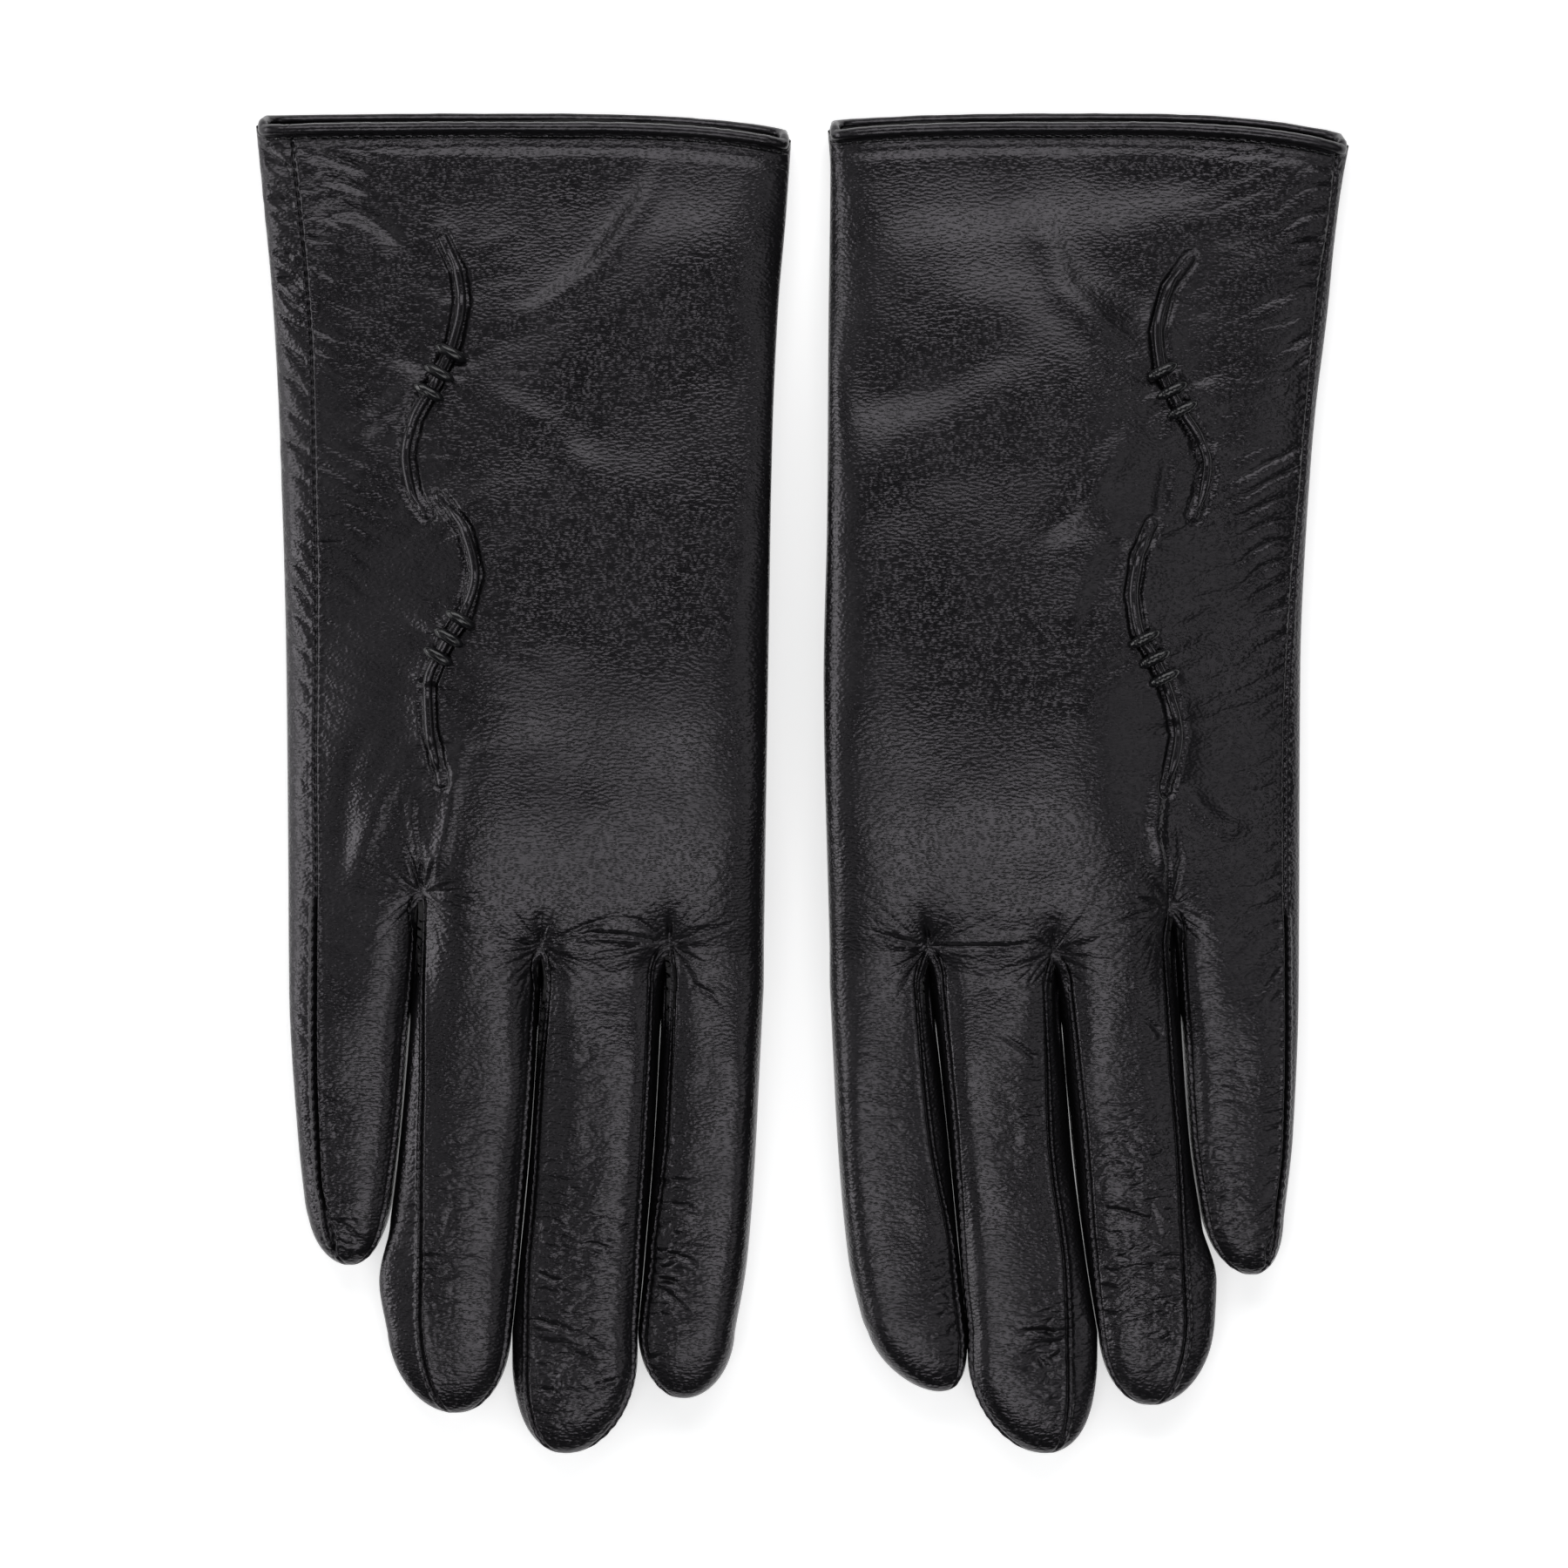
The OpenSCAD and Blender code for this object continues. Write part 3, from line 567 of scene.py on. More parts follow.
def star_relief(shape, x, y):
    """Fine creases that fan out from each crotch, gone about two centimetres away."""
    relief = np.zeros(np.shape(x))
    for seed, crotch in enumerate(shape["crotches"]):
        reach, turn = around(x, y, crotch)
        sharp = (1 - np.abs(hills(turn * 5.5 + 20, reach / 12, 11 + seed))) ** 5
        relief -= 0.55 * sharp * np.exp(-reach / 5.5) * smooth(0.3, 2, reach)
    return relief


print("creases:", {side: len(CREASES[side]) for side in SIDES})

# %% [markdown]
# ## Gathers at the tucks and the hem
# A tuck is sewn through the leather on both sides of its cord, which draws a channel and gathers the leather
# round it. The hem is sewn down in the same way. With these, one function gives all the relief of a back.

# %% Gathers at the tucks and the hem
def tuck_relief(shape, x, y):
    """A stitched channel on both sides of each tuck, with gathers square to it and round its wraps."""
    relief = np.zeros(np.shape(x))
    for seed, name in enumerate(("upper", "lower")):
        gap, place, _ = near_path(shape["tucks"][name], x, y)
        relief += 0.3 * bump(gap, 2.4) - 0.65 * bump(gap - 1.15, 0.4)
        relief += 0.42 * hills(place / 2.1, gap / 8, 21 + seed) * np.exp(-gap / 6)
        reach, turn = around(x, y, shape["wraps"][name][1])
        relief += 0.8 * hills(turn * 2.6 + 30, reach / 14, 31 + seed) * np.exp(-reach / 9) * smooth(1, 4, reach)
    return relief


def hem_relief(shape, x, y):
    """The rolled edge is sewn down in a groove, and the leather below it lies a little lower than the rest."""
    inner, width = width_at(shape, y)
    below = hem_y(shape, (x - inner) / width, True) - y
    return -0.45 * bump(below - 1.4, 0.4) - 0.5 * bump(below - 3.1, 1.3)


def hand_relief(side, shape, x, y):
    """All the relief on the back of one hand, in millimetres."""
    relief = fold_relief(side, x, y)
    for part in (star_relief, tuck_relief, hem_relief):
        relief = relief + part(shape, x, y)
    return relief + side_seam_relief(side, shape, x, y) + crease_relief(side, x, y)


middle_relief = [hand_relief(side, SHAPES[side], np.array(45.0), np.array(40.0)) for side in SIDES]
print("relief at the middle of each back:", np.round(middle_relief, 2).tolist())

# %% [markdown]
# ## From grids to meshes
# A grid of points becomes a mesh by joining neighbours into four-sided faces. A mask picks which faces a
# piece keeps, so that a finger can be worked out whole and then cut into its stall and its fourchettes,
# which meet edge to edge.

# %% Meshes
FLOOR_GAP = 0.05


def unit(vectors):
    """The same directions at length 1."""
    return vectors / np.maximum(np.linalg.norm(vectors, axis=-1, keepdims=True), 1e-9)


def normals_of(points):
    """Normals of a grid that closes on itself: outward if its columns run outwards over the back and its rows
    run to the cuff."""
    across = np.roll(points, -1, 1) - np.roll(points, 1, 1)
    return unit(np.cross(across, np.gradient(points, axis=0)))


def grid_faces(points, turned=False):
    """Corner numbers of the four-sided faces of a grid that closes on itself, row by row. Turned faces look
    the other way."""
    rows, cols = points.shape[:2]
    r, c = np.meshgrid(np.arange(rows - 1), np.arange(cols), indexing="ij")
    n = (c + 1) % cols
    faces = np.stack([r * cols + c, r * cols + n, (r + 1) * cols + n, (r + 1) * cols + c], axis=-1)
    return faces[..., ::-1] if turned else faces


def copied_faces(grids, turned=False):
    """Faces of many equal grids in one mesh."""
    one = grid_faces(grids[0], turned).reshape(-1, 4)
    each = grids.shape[1] * grids.shape[2]
    return one[None] + each * np.arange(len(grids))[:, None, None]


def above_floor(points, gap=FLOOR_GAP):
    """The points, none of them lower than the gap over the floor."""
    points[..., 2] = np.maximum(points[..., 2], gap)
    return points


def new_piece(name, points, faces, side, material, normals=None):
    """A smooth mesh from points in a glove's own millimetres, and their normals if its shading has to run on
    from another piece. The right glove is mirrored, faces and all."""
    faces = np.asarray(faces).reshape(-1, np.shape(faces)[-1])
    used, corners = np.unique(faces, return_inverse=True)
    corners = corners.reshape(faces.shape)
    mirror = (MIRROR[side], 1, 1)
    places = np.asarray(points, float).reshape(-1, 3)[used] * MM * mirror
    if side == "right":
        corners = corners[:, ::-1]
    mesh = bpy.data.meshes.new(name)
    mesh.vertices.add(len(places))
    mesh.vertices.foreach_set("co", places.ravel())
    mesh.loops.add(corners.size)
    mesh.loops.foreach_set("vertex_index", corners.ravel().astype(np.int32))
    mesh.polygons.add(len(corners))
    mesh.polygons.foreach_set("loop_start", np.arange(len(corners), dtype=np.int32) * corners.shape[1])
    mesh.update(calc_edges=True)
    mesh.validate()
    mesh.polygons.foreach_set("use_smooth", np.ones(len(mesh.polygons), bool))
    if normals is not None:
        facing = normals.reshape(-1, 3)[used] * mirror
        mesh.normals_split_custom_set_from_vertices(facing.tolist())
    mesh.materials.append(material)
    return link(bpy.data.objects.new(name, mesh))


print("faces of a tube of 3 rings with 4 points:", len(grid_faces(np.zeros((3, 4, 3))).reshape(-1, 4)))

# %% [markdown]
# ## Nodes
# A finish is a small network of nodes. Each node could be placed by hand in the shader editor. In a script
# three short helpers keep the networks readable: one adds a node, one makes a colour out of two shades, and
# one starts a material.

# %% Nodes
def add(tree, kind, inputs=(), **settings):
    """One node with its settings. Its inputs are (name or number, a value or the socket that feeds it)."""
    node = tree.nodes.new(kind)
    for key, value in settings.items():
        setattr(node, key, value)
    for key, source in inputs:
        if isinstance(source, bpy.types.NodeSocket):
            tree.links.new(source, node.inputs[key])
        else:
            node.inputs[key].default_value = source
    return node


def two_shades(tree, source, dark, light):
    """A colour that goes from dark to light as the source goes from 0 to 1."""
    ramp = add(tree, "ShaderNodeValToRGB", [("Fac", source)])
    for element, color in zip(ramp.color_ramp.elements, (dark, light)):
        element.color = (*color, 1)
    return ramp.outputs[0]


def new_material(name, inputs):
    """A material, its node tree and its shader, with values for the shader's inputs."""
    material = bpy.data.materials.new(name)
    material.use_nodes = True
    shader = material.node_tree.nodes["Principled BSDF"]
    for label, value in inputs.items():
        shader.inputs[label].default_value = value
    return material, material.node_tree, shader


print("node helpers:", add.__name__, two_shades.__name__, new_material.__name__)

# %% [markdown]
# ## Grain of the leather
# Nappa is smooth leather with a fine pebbled grain. Its pebbles are a cell pattern, drawn out a little and
# wobbled by noise. The grain is a node group because the hand, the fingers, the rolled edge and the tucks
# all use it, each with its own strength.

# %% Grain of the leather
GRAIN_SOCKETS = [
    ("Vector", "INPUT", "NodeSocketVector"),
    ("Pebbles per Metre", "INPUT", "NodeSocketFloat"),
    ("Polish", "INPUT", "NodeSocketFloat"),
    ("Height", "OUTPUT", "NodeSocketFloat"),
    ("Roughness", "OUTPUT", "NodeSocketFloat"),
    ("Color", "OUTPUT", "NodeSocketColor"),
]
PEBBLE_STRETCH, PEBBLE_WOBBLE = (0.62, 1.35, 1.0), 0.0007
DEEP_BLACK, WORN_BLACK = (0.0024, 0.0023, 0.0026), (0.0050, 0.0048, 0.0053)


def pebble_height(group, given):
    """Cells about 0.7 mm across, wobbled and pulled a little longer across the glove, with fine noise on top."""
    where = given["Vector"]
    stretch = add(group, "ShaderNodeVectorMath", [(0, where), (1, PEBBLE_STRETCH)], operation="MULTIPLY")
    wobble = add(group, "ShaderNodeTexNoise", [("Vector", where), ("Scale", 700.0), ("Detail", 2.0)])
    wobble_inputs = [(0, wobble.outputs["Color"]), (1, (0.5, 0.5, 0.5))]
    centred = add(group, "ShaderNodeVectorMath", wobble_inputs, operation="SUBTRACT")
    push_inputs = [(0, centred.outputs[0]), (1, (PEBBLE_WOBBLE,) * 3), (2, stretch.outputs[0])]
    pushed = add(group, "ShaderNodeVectorMath", push_inputs, operation="MULTIPLY_ADD").outputs[0]
    cell_inputs = [("Vector", pushed), ("Scale", given["Pebbles per Metre"]), ("Smoothness", 0.55)]
    cells = add(group, "ShaderNodeTexVoronoi", cell_inputs, feature="SMOOTH_F1")
    round_inputs = [("Value", cells.outputs["Distance"]), ("From Max", 0.7), ("To Min", 1.0), ("To Max", 0.0)]
    pebble = add(group, "ShaderNodeMapRange", round_inputs)
    fine = add(group, "ShaderNodeTexNoise", [("Vector", pushed), ("Scale", 3200.0), ("Detail", 2.0)])
    height_inputs = [(0, fine.outputs["Fac"]), (1, 0.2), (2, pebble.outputs[0])]
    return add(group, "ShaderNodeMath", height_inputs, operation="MULTIPLY_ADD").outputs[0]


def make_nappa_grain():
    """Pebbles give the height, and slow noise shifts the gloss and the blackness from place to place."""
    group = bpy.data.node_groups.new("nappa_grain", "ShaderNodeTree")
    for label, way, kind in GRAIN_SOCKETS:
        group.interface.new_socket(label, in_out=way, socket_type=kind)
    given = group.nodes.new("NodeGroupInput").outputs
    made = group.nodes.new("NodeGroupOutput").inputs
    patch_inputs = [("Vector", given["Vector"]), ("Scale", 60.0), ("Detail", 3.0), ("Roughness", 0.6)]
    patches = add(group, "ShaderNodeTexNoise", patch_inputs).outputs["Fac"]
    worn_inputs = [("Value", patches), ("From Min", 0.3), ("From Max", 0.7), ("To Min", -0.05), ("To Max", 0.07)]
    worn = add(group, "ShaderNodeMapRange", worn_inputs)
    rough = add(group, "ShaderNodeMath", [(0, worn.outputs[0]), (1, given["Polish"])], operation="ADD")
    group.links.new(pebble_height(group, given), made["Height"])
    group.links.new(rough.outputs[0], made["Roughness"])
    group.links.new(two_shades(group, patches, DEEP_BLACK, WORN_BLACK), made["Color"])
    return group


nappa_grain = make_nappa_grain()
print("nodes in the grain:", len(nappa_grain.nodes))

# %% [markdown]
# ## Black nappa
# The leather is dyed black and has a soft gloss: a Principled shader with a thin coat, whose colour,
# roughness and bump come from the grain. The rolled edge and the tucks are stretched over a cord, so their
# grain is shallower.

# %% Black nappa
LEATHER_GLOSS = {
    "IOR": 1.5,
    "Specular Tint": (0.97, 0.91, 1.0, 1),
    "Specular IOR Level": 0.38,
    "Coat Weight": 0.12,
    "Coat Roughness": 0.25,
}


def leather_material(name, pebbles, polish, depth):
    """Glossy black leather: the grain group feeds colour, roughness and bump."""
    material, tree, shader = new_material(name, LEATHER_GLOSS)
    where = add(tree, "ShaderNodeTexCoord").outputs["Object"]
    grain_inputs = [("Vector", where), ("Pebbles per Metre", pebbles), ("Polish", polish)]
    grain = add(tree, "ShaderNodeGroup", grain_inputs, node_tree=nappa_grain).outputs
    relief = add(tree, "ShaderNodeBump", [("Height", grain["Height"]), ("Strength", 1.0), ("Distance", depth)])
    tree.links.new(grain["Color"], shader.inputs["Base Color"])
    tree.links.new(grain["Roughness"], shader.inputs["Roughness"])
    tree.links.new(relief.outputs["Normal"], shader.inputs["Normal"])
    return material


nappa = leather_material("black_nappa", pebbles=1650.0, polish=0.27, depth=0.000085)
edge_nappa = leather_material("edge_nappa", pebbles=1700.0, polish=0.25, depth=0.00003)
print("leather materials:", nappa.name, edge_nappa.name)

# %% [markdown]
# ## Lining and thread
# The lining is a fine matt knit, and the thread is dyed black and slightly shiny. Both are mostly hidden,
# but they show in the mouth of the cuff, at the hem and on the tucks. An image of cloth could be used, but a
# wave pattern gives the ribs at any size.

# %% Lining and thread
# How dark the painted shade in the rib valleys is, as a share of the fabric's colour.
PAINTED_RIB_SHADE = 0.6


def ribbed_material(name, color, rough, ribs, depth):
    """A fabric with fine ribs: a wave pattern in the piece's own frame feeds the bump and darkens the rib valleys as
    painted shade.
    """
    material, tree, shader = new_material(name, {"Roughness": rough})
    where = add(tree, "ShaderNodeTexCoord").outputs["Object"]
    wave_inputs = [("Vector", where), ("Scale", ribs), ("Distortion", 2.5), ("Detail", 2.0)]
    wave = add(tree, "ShaderNodeTexWave", wave_inputs, bands_direction="DIAGONAL").outputs["Fac"]
    relief = add(tree, "ShaderNodeBump", [("Height", wave), ("Strength", 1.0), ("Distance", depth)])
    # Painted shade: the colour is darker where the wave, and so the bump, is low.
    shade = two_shades(tree, wave, [PAINTED_RIB_SHADE * c for c in color], color)
    tree.links.new(shade, shader.inputs["Base Color"])
    tree.links.new(relief.outputs["Normal"], shader.inputs["Normal"])
    return material


knit = ribbed_material("black_knit", (0.012, 0.011, 0.012), rough=0.85, ribs=330.0, depth=0.00012)
thread = ribbed_material("black_thread", (0.006, 0.006, 0.007), rough=0.24, ribs=520.0, depth=0.00003)
print("fabric materials:", knit.name, thread.name)

# %% [markdown]
# ## Hand leather and lining
# The rows of the grid run from the line of the crotches to the hem. Its columns are bunched at the crotches
# and at the side seam, where the leather turns sharply, and spread out evenly further up the hand.

# %% Hand leather and lining
CLOSE_ROWS, WIDE_ROWS, HEM_ROWS = 100, 250, 32
CLOSE_SHARE, HEM_SHARE = 0.2, 0.96
BACK_COLUMNS = {"index": 46, "middle": 48, "ring": 50, "little": 52, "side": 24}
PALM_COLUMNS = 10
EVEN_SHARES = np.array([0, 0.2, 0.43, 0.66, 1])
ROUGH_ENDS = (-30, 117)
LINING_DEPTH, LINING_GAP = 1.2, 0.4


def bunched(count, amount=0.6):
    """Steps from 0 to 1, short at both ends: a mix of even steps and the steps of a half circle."""
    even = np.arange(count) / count
    return mix(even, 0.5 - 0.5 * np.cos(np.pi * even), amount)


def hand_columns(shape, v):
    """Share across the hand of every column: over the back from the index edge to the side seam and on to the
    outer edge, and back along the palm. Between bounds that start at the crotches the columns are bunched."""
    rough_y = mix(*ROUGH_ENDS, v)
    inner, width = width_at(shape, rough_y)
    bounds = mix(crotch_shares(shape)[0], EVEN_SHARES, smooth(0.03, 0.4, v))
    seam = (through(shape["side_seam"], rough_y) - inner) / width
    bounds = np.concatenate([bounds[:, :4], seam, bounds[:, 4:]], axis=1)
    palm_bounds = bounds[:, [5, 3, 2, 1, 0]]
    runs = [(bounds, k, count) for k, count in enumerate(BACK_COLUMNS.values())]
    runs += [(palm_bounds, k, PALM_COLUMNS) for k in range(4)]
    parts = [mix(at[:, k : k + 1], at[:, k + 1 : k + 2], bunched(count)) for at, k, count in runs]
    return np.concatenate(parts, axis=1)


def hand_grid(side, shape):
    """The skin of one hand from the join to the hem, before and after its relief, and its normals."""
    v = np.concatenate([
        np.linspace(0, CLOSE_SHARE, CLOSE_ROWS)[:-1],
        np.linspace(CLOSE_SHARE, HEM_SHARE, WIDE_ROWS)[:-1],
        np.linspace(HEM_SHARE, 1, HEM_ROWS),
    ])[:, None]
    share = hand_columns(shape, v)
    back = (np.arange(share.shape[1]) <= sum(BACK_COLUMNS.values()))[None, :]
    y = mix(join_y(shape, share), hem_y(shape, share, back), v)
    base = hand_surface(shape, share, y, back)
    x = base[..., 0]
    normal = normals_of(base)
    back_relief = hand_relief(side, shape, x, y) * np.clip(normal[..., 2], 0, 1)
    palm_relief = 0.25 * hills(x / 9, y / 12, 47) + 0.12 * hills(x / 3, y / 4, 48)
    relief = np.where(back, back_relief, palm_relief) * smooth(1, 0.994, v)
    points = above_floor(base + normal * relief[..., None])
    return base, points, normals_of(points)


hands, bases, hand_normals = {}, {}, {}
for side in SIDES:
    bases[side], points, normal = hand_grid(side, SHAPES[side])
    hands[side], hand_normals[side] = points, normal
    leather = new_piece(f"{side}_hand_leather_skin", points, grid_faces(points), side, nappa, normal)
    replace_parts(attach(leather, f"{side}_hand"), f"{side}_hand_leather")
    inside = above_floor((points - LINING_DEPTH * normal)[2:-1:3, ::3], LINING_GAP)
    lining = new_piece(f"{side}_hand_lining_knit", inside, grid_faces(inside, turned=True), side, knit)
    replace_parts(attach(lining, f"{side}_hand"), f"{side}_hand_lining")
    print(side, "hand leather faces:", len(leather.data.polygons))

# %% [markdown]
# ## Fingers
# A finger is a tube of four strips: the back, the palm and a fourchette at each side that meets another
# finger. They could be four meshes, but as columns of one grid they meet edge to edge at their seams. A
# section of the tube is a superellipse, and each strip takes its own part of the way round.

# %% Finger sections
FINGER_COLUMNS = {"back": 76, "side": 30, "outer": 34, "palm": 15, "inner": 34}
FINGER_TAPER = 0.12
INNER_LIP, SLIT = 0.8, 0.7
PALM_IN, PALM_OUT = -128, -14
CROTCH_ANGLE, LIP_OPEN = 38, 6


def signed_power(x, power):
    """A power that keeps the sign."""
    return np.sign(x) * np.abs(x) ** power


def finger_strips(f):
    """Names of the strips of finger f in order, from its inner lip over the back and round."""
    return ["back", "side" if f == 3 else "outer", "palm"] + (["inner"] if f > 0 else [])


def slit_fill(shape, low, y):
    """How far the fingers low and low + 1 swell towards each other, to leave only a narrow slit between them."""
    first, second = (shape["fingers"][name] for name in FINGERS[low : low + 2])
    gap = through(second["inner"], y) - through(first["outer"], y)
    end = max(first["tip"][1], second["tip"][1])
    return np.clip((gap - SLIT) / 2, 0, 1.2) * smooth(end + 4, end + 16, y)


def finger_middle(shape, f, y):
    """Middle, half width and half depth of a finger at y, before its tip is rounded."""
    keys = shape["fingers"][FINGERS[f]]
    inner = through(keys["inner"], y) - (slit_fill(shape, f - 1, y) if f > 0 else 0)
    outer = through(keys["outer"], y) + (slit_fill(shape, f, y) if f < 3 else 0)
    along = smooth(-30, keys["tip"][1], y)
    return (inner + outer) / 2, (outer - inner) / 2, HAND_HALF * (1 - FINGER_TAPER * along)


def section_angle(u):
    """Angle round the upper half of a section at a share u of its half width: 0 at the outer edge, 180 inside."""
    return np.degrees(np.arccos(np.clip(signed_power(u, SECTION_POWER / 2), -1, 1)))


def strip_angles(shape, f, name, y, below, t):
    """Angles round the section across one strip. The back is even in width, so that it runs on from the hand,
    and the seams open from the crotch as the finger runs on."""
    middle, half, _ = finger_middle(shape, f, y)
    seam = through(shape["fingers"][FINGERS[f]].get("seam", shape["side_seam"]), y)
    seam = np.clip((seam - middle) / half, 0.05, 0.98)
    opened = smooth(0, LIP_OPEN, below)
    shut = np.cos(np.radians(CROTCH_ANGLE)) ** (2 / SECTION_POWER)
    lip = -1 + 0 * y if f == 0 else -mix(shut, 1 - (INNER_LIP + slit_fill(shape, f - 1, y)) / half, opened)
    out = seam if f == 3 else mix(shut, seam, opened)
    palm_in = -180 + 0 * y if f == 0 else mix(CROTCH_ANGLE - 180, PALM_IN, opened)
    palm_out = 0 * y if f == 3 else mix(-CROTCH_ANGLE, PALM_OUT, opened)
    if name == "back":
        return section_angle(mix(lip, out, t))
    if name == "side":
        return section_angle(mix(out, 1, t))
    ends = {
        "outer": (section_angle(out), palm_out),
        "palm": (palm_out, palm_in),
        "inner": (palm_in, section_angle(lip) - 360),
    }
    return mix(*ends[name], t)


print("columns round a middle finger:", sum(FINGER_COLUMNS[name] for name in finger_strips(1)))

# %% [markdown]
# ## Where a finger begins
# The leather of a back runs on from the hand into the finger in one piece. The two could be joined by merging
# points, but it is simpler to give a finger the hand's own last row as its first row. Only the fold through
# each crotch is new: it bows down as a saddle.

# %% First row of a finger
FINGER_BUNCH = 0.8
SADDLE = 3.5


def first_row(row, f, saddle=SADDLE):
    """The hand's last row along finger f, strip by strip: its own line along the back and the palm, and a
    fold of leather that bows out and down through each crotch as a saddle."""
    closed = np.concatenate([row, row[:1]])
    starts = np.cumsum([0, *BACK_COLUMNS.values(), *[PALM_COLUMNS] * 4])
    runs = {
        "back": np.arange(starts[f], starts[f + 1] + 1),
        "side": np.arange(starts[4], starts[5] + 1),
        "outer": starts[[f + 1, 8 - f]],
        "palm": np.arange(starts[8 - f], starts[9 - f] + 1),
        "inner": starts[[9 - f, f]],
    }
    pieces = []
    for name in finger_strips(f):
        run = closed[runs[name]]
        at = np.append(bunched(len(run) - 1), 1)
        new = bunched(FINGER_COLUMNS[name], FINGER_BUNCH)
        line = np.stack([np.interp(new, at, values) for values in run.T], axis=1)
        if len(run) == 2:
            line[:, 2] = mix(run[0, 2], run[1, 2], 0.5 - 0.5 * np.cos(np.pi * new))
            line[:, 1] -= saddle * np.sin(np.pi * new)
        pieces.append(line)
    return np.concatenate(pieces)


print("points in the hand's last row:", {side: len(hands[side][0]) for side in SIDES})

# %% [markdown]
# ## Flanks
# Lined fingers that lie side by side press on each other, so their low flanks swell until they meet. They
# could be pushed together by a simulation, but the gap between the two outlines already says how far to go.

# %% Flanks
BULGE_LIMIT = 3
INNER_FLANK, OUTER_FLANK = -170, -10


def low_bulge(shape, f, y, angle):
    """How far the low flanks swell sideways to meet the next finger half way, so that no floor shows between."""
    keys = [shape["fingers"][name] for name in FINGERS]
    swell = np.zeros(y.shape)
    for other, way, at in ((f - 1, -1, INNER_FLANK), (f + 1, 1, OUTER_FLANK)):
        if 0 <= other <= 3:
            low, high = (other, f) if way < 0 else (f, other)
            gap = through(keys[high]["inner"], y) - through(keys[low]["outer"], y) - 2 * slit_fill(shape, low, y)
            beside = smooth(keys[other]["tip"][1] + 1, keys[other]["tip"][1] + 9, y)
            turned = (np.mod(angle + 270, 360) - 270 - at) * way
            near_crotch = 0.35 * smooth(-44, -34, y)
            reach = np.clip(gap / 2 + 0.05 + near_crotch, 0, BULGE_LIMIT)
            swell += way * reach * beside * bump(turned, np.where(turned > 0, 16, 45))
    return swell


print("angles of the inner and outer flank:", INNER_FLANK, OUTER_FLANK)

# %% [markdown]
# ## From the hand to the fingertip
# From the first row the sections follow the finger's middle line. They ease out of the height and slope of
# the hand, and the tip closes as a quarter ellipse. A tube along a curve would be quicker, but its sections
# would all have the same seams, and here the fourchettes open from the crotch.

# %% Finger grid
STRAIGHT_ROWS, TIP_ROWS = 240, 44
TIP_RUN, TIP_FLATNESS = 1.45, 0.7
CROTCH_ROUND = 6
HEIGHT_EASE, SLOPE_EASE, SLOPE_LIMIT = 26, 16, 0.4
ROLL = 0.17


def finger_rows(start_y, shoulder, tip_y):
    """The y of every row, even down to the shoulder of the tip and by angle round the tip, and how full the
    section is there."""
    down = np.linspace(0, 1, STRAIGHT_ROWS)[:, None]
    turn = np.radians(np.linspace(0, 88, TIP_ROWS + 1))[1:, None]
    tip = shoulder + (tip_y - shoulder) * np.sin(turn) + 0 * start_y
    return np.concatenate([mix(start_y, shoulder, down), tip]), np.concatenate([np.ones(down.shape), np.cos(turn)])


def ease_from_hand(points, start, below, towards, f):
    """Moves the upper rows so that they begin at the hand's own edge, with its slope. Beside a crotch the shift
    in x ends in a quarter circle, and at a free edge it fades slowly."""
    off = start[:, :3] - points[0]
    slope = (points[1, :, 2] - points[0, :, 2]) / (below[1] - below[0])
    bend = np.clip(start[:, 3] - slope, -SLOPE_LIMIT, SLOPE_LIMIT)
    free = {0: smooth(0.3, -0.3, towards), 3: smooth(-0.3, 0.3, towards)}.get(f, 0 * towards)
    at_crotch = 1 - np.sqrt(1 - (1 - np.clip(below / CROTCH_ROUND, 0, 1)) ** 2)
    fade = 1 - smooth(0, HEIGHT_EASE, below)
    points[..., 0] += off[:, 0] * mix(at_crotch, fade, free)
    points[..., 2] += off[:, 2] * fade + bend * below * (1 - smooth(0, SLOPE_EASE, below))
    return points


def finger_grid(side, f):
    """One finger from the join to its tip: superellipse sections on the finger's middle line, eased at the
    start into the height and slope of the hand, and shrunk at the tip as a quarter ellipse."""
    shape = SHAPES[side]
    tip_x, tip_y = shape["fingers"][FINGERS[f]]["tip"]
    step = bases[side][1] - bases[side][0]
    start = first_row(np.column_stack([bases[side][0], -step[:, 2] / step[:, 1]]), f)
    _, half_at_end, _ = finger_middle(shape, f, tip_y + 14)
    shoulder = tip_y + TIP_RUN * half_at_end
    y, full = finger_rows(start[:, 1], shoulder, tip_y)
    below = start[:, 1] - y
    middle, half, depth = finger_middle(shape, f, y)
    past = np.clip((shoulder - y) / (shoulder - tip_y), 0, 1)
    middle = mix(middle, tip_x, past**1.8)
    ends = np.cumsum([0, *[FINGER_COLUMNS[name] for name in finger_strips(f)]])
    angle = np.zeros(y.shape)
    for k, name in enumerate(finger_strips(f)):
        cut = slice(ends[k], ends[k + 1])
        t = bunched(FINGER_COLUMNS[name], FINGER_BUNCH)
        angle[:, cut] = strip_angles(shape, f, name, np.maximum(y, shoulder)[:, cut], below[:, cut], t)
    cos, sin = np.cos(np.radians(angle)), np.sin(np.radians(angle))
    crown_lift = PROP_HEIGHT * lift(np.mean(crotch_shares(shape)[0][f : f + 2]))
    x = middle + half * full * signed_power(cos, 2 / SECTION_POWER)
    z = depth + crown_lift * through(PROP_FINGERS, y)
    z = z + depth * full**TIP_FLATNESS * signed_power(sin, 2 / SECTION_POWER)
    z = z - ROLL * (x - middle) * np.clip(sin, 0, 1) * full
    x = x + low_bulge(shape, f, y, angle) * full
    points = ease_from_hand(np.stack([x, y, z], axis=-1), start, below, cos[0], f)
    return points, full, below, ends


tips = {side: [keys["tip"][1] for keys in SHAPES[side]["fingers"].values()] for side in SIDES}
print("y of the fingertips:", tips)

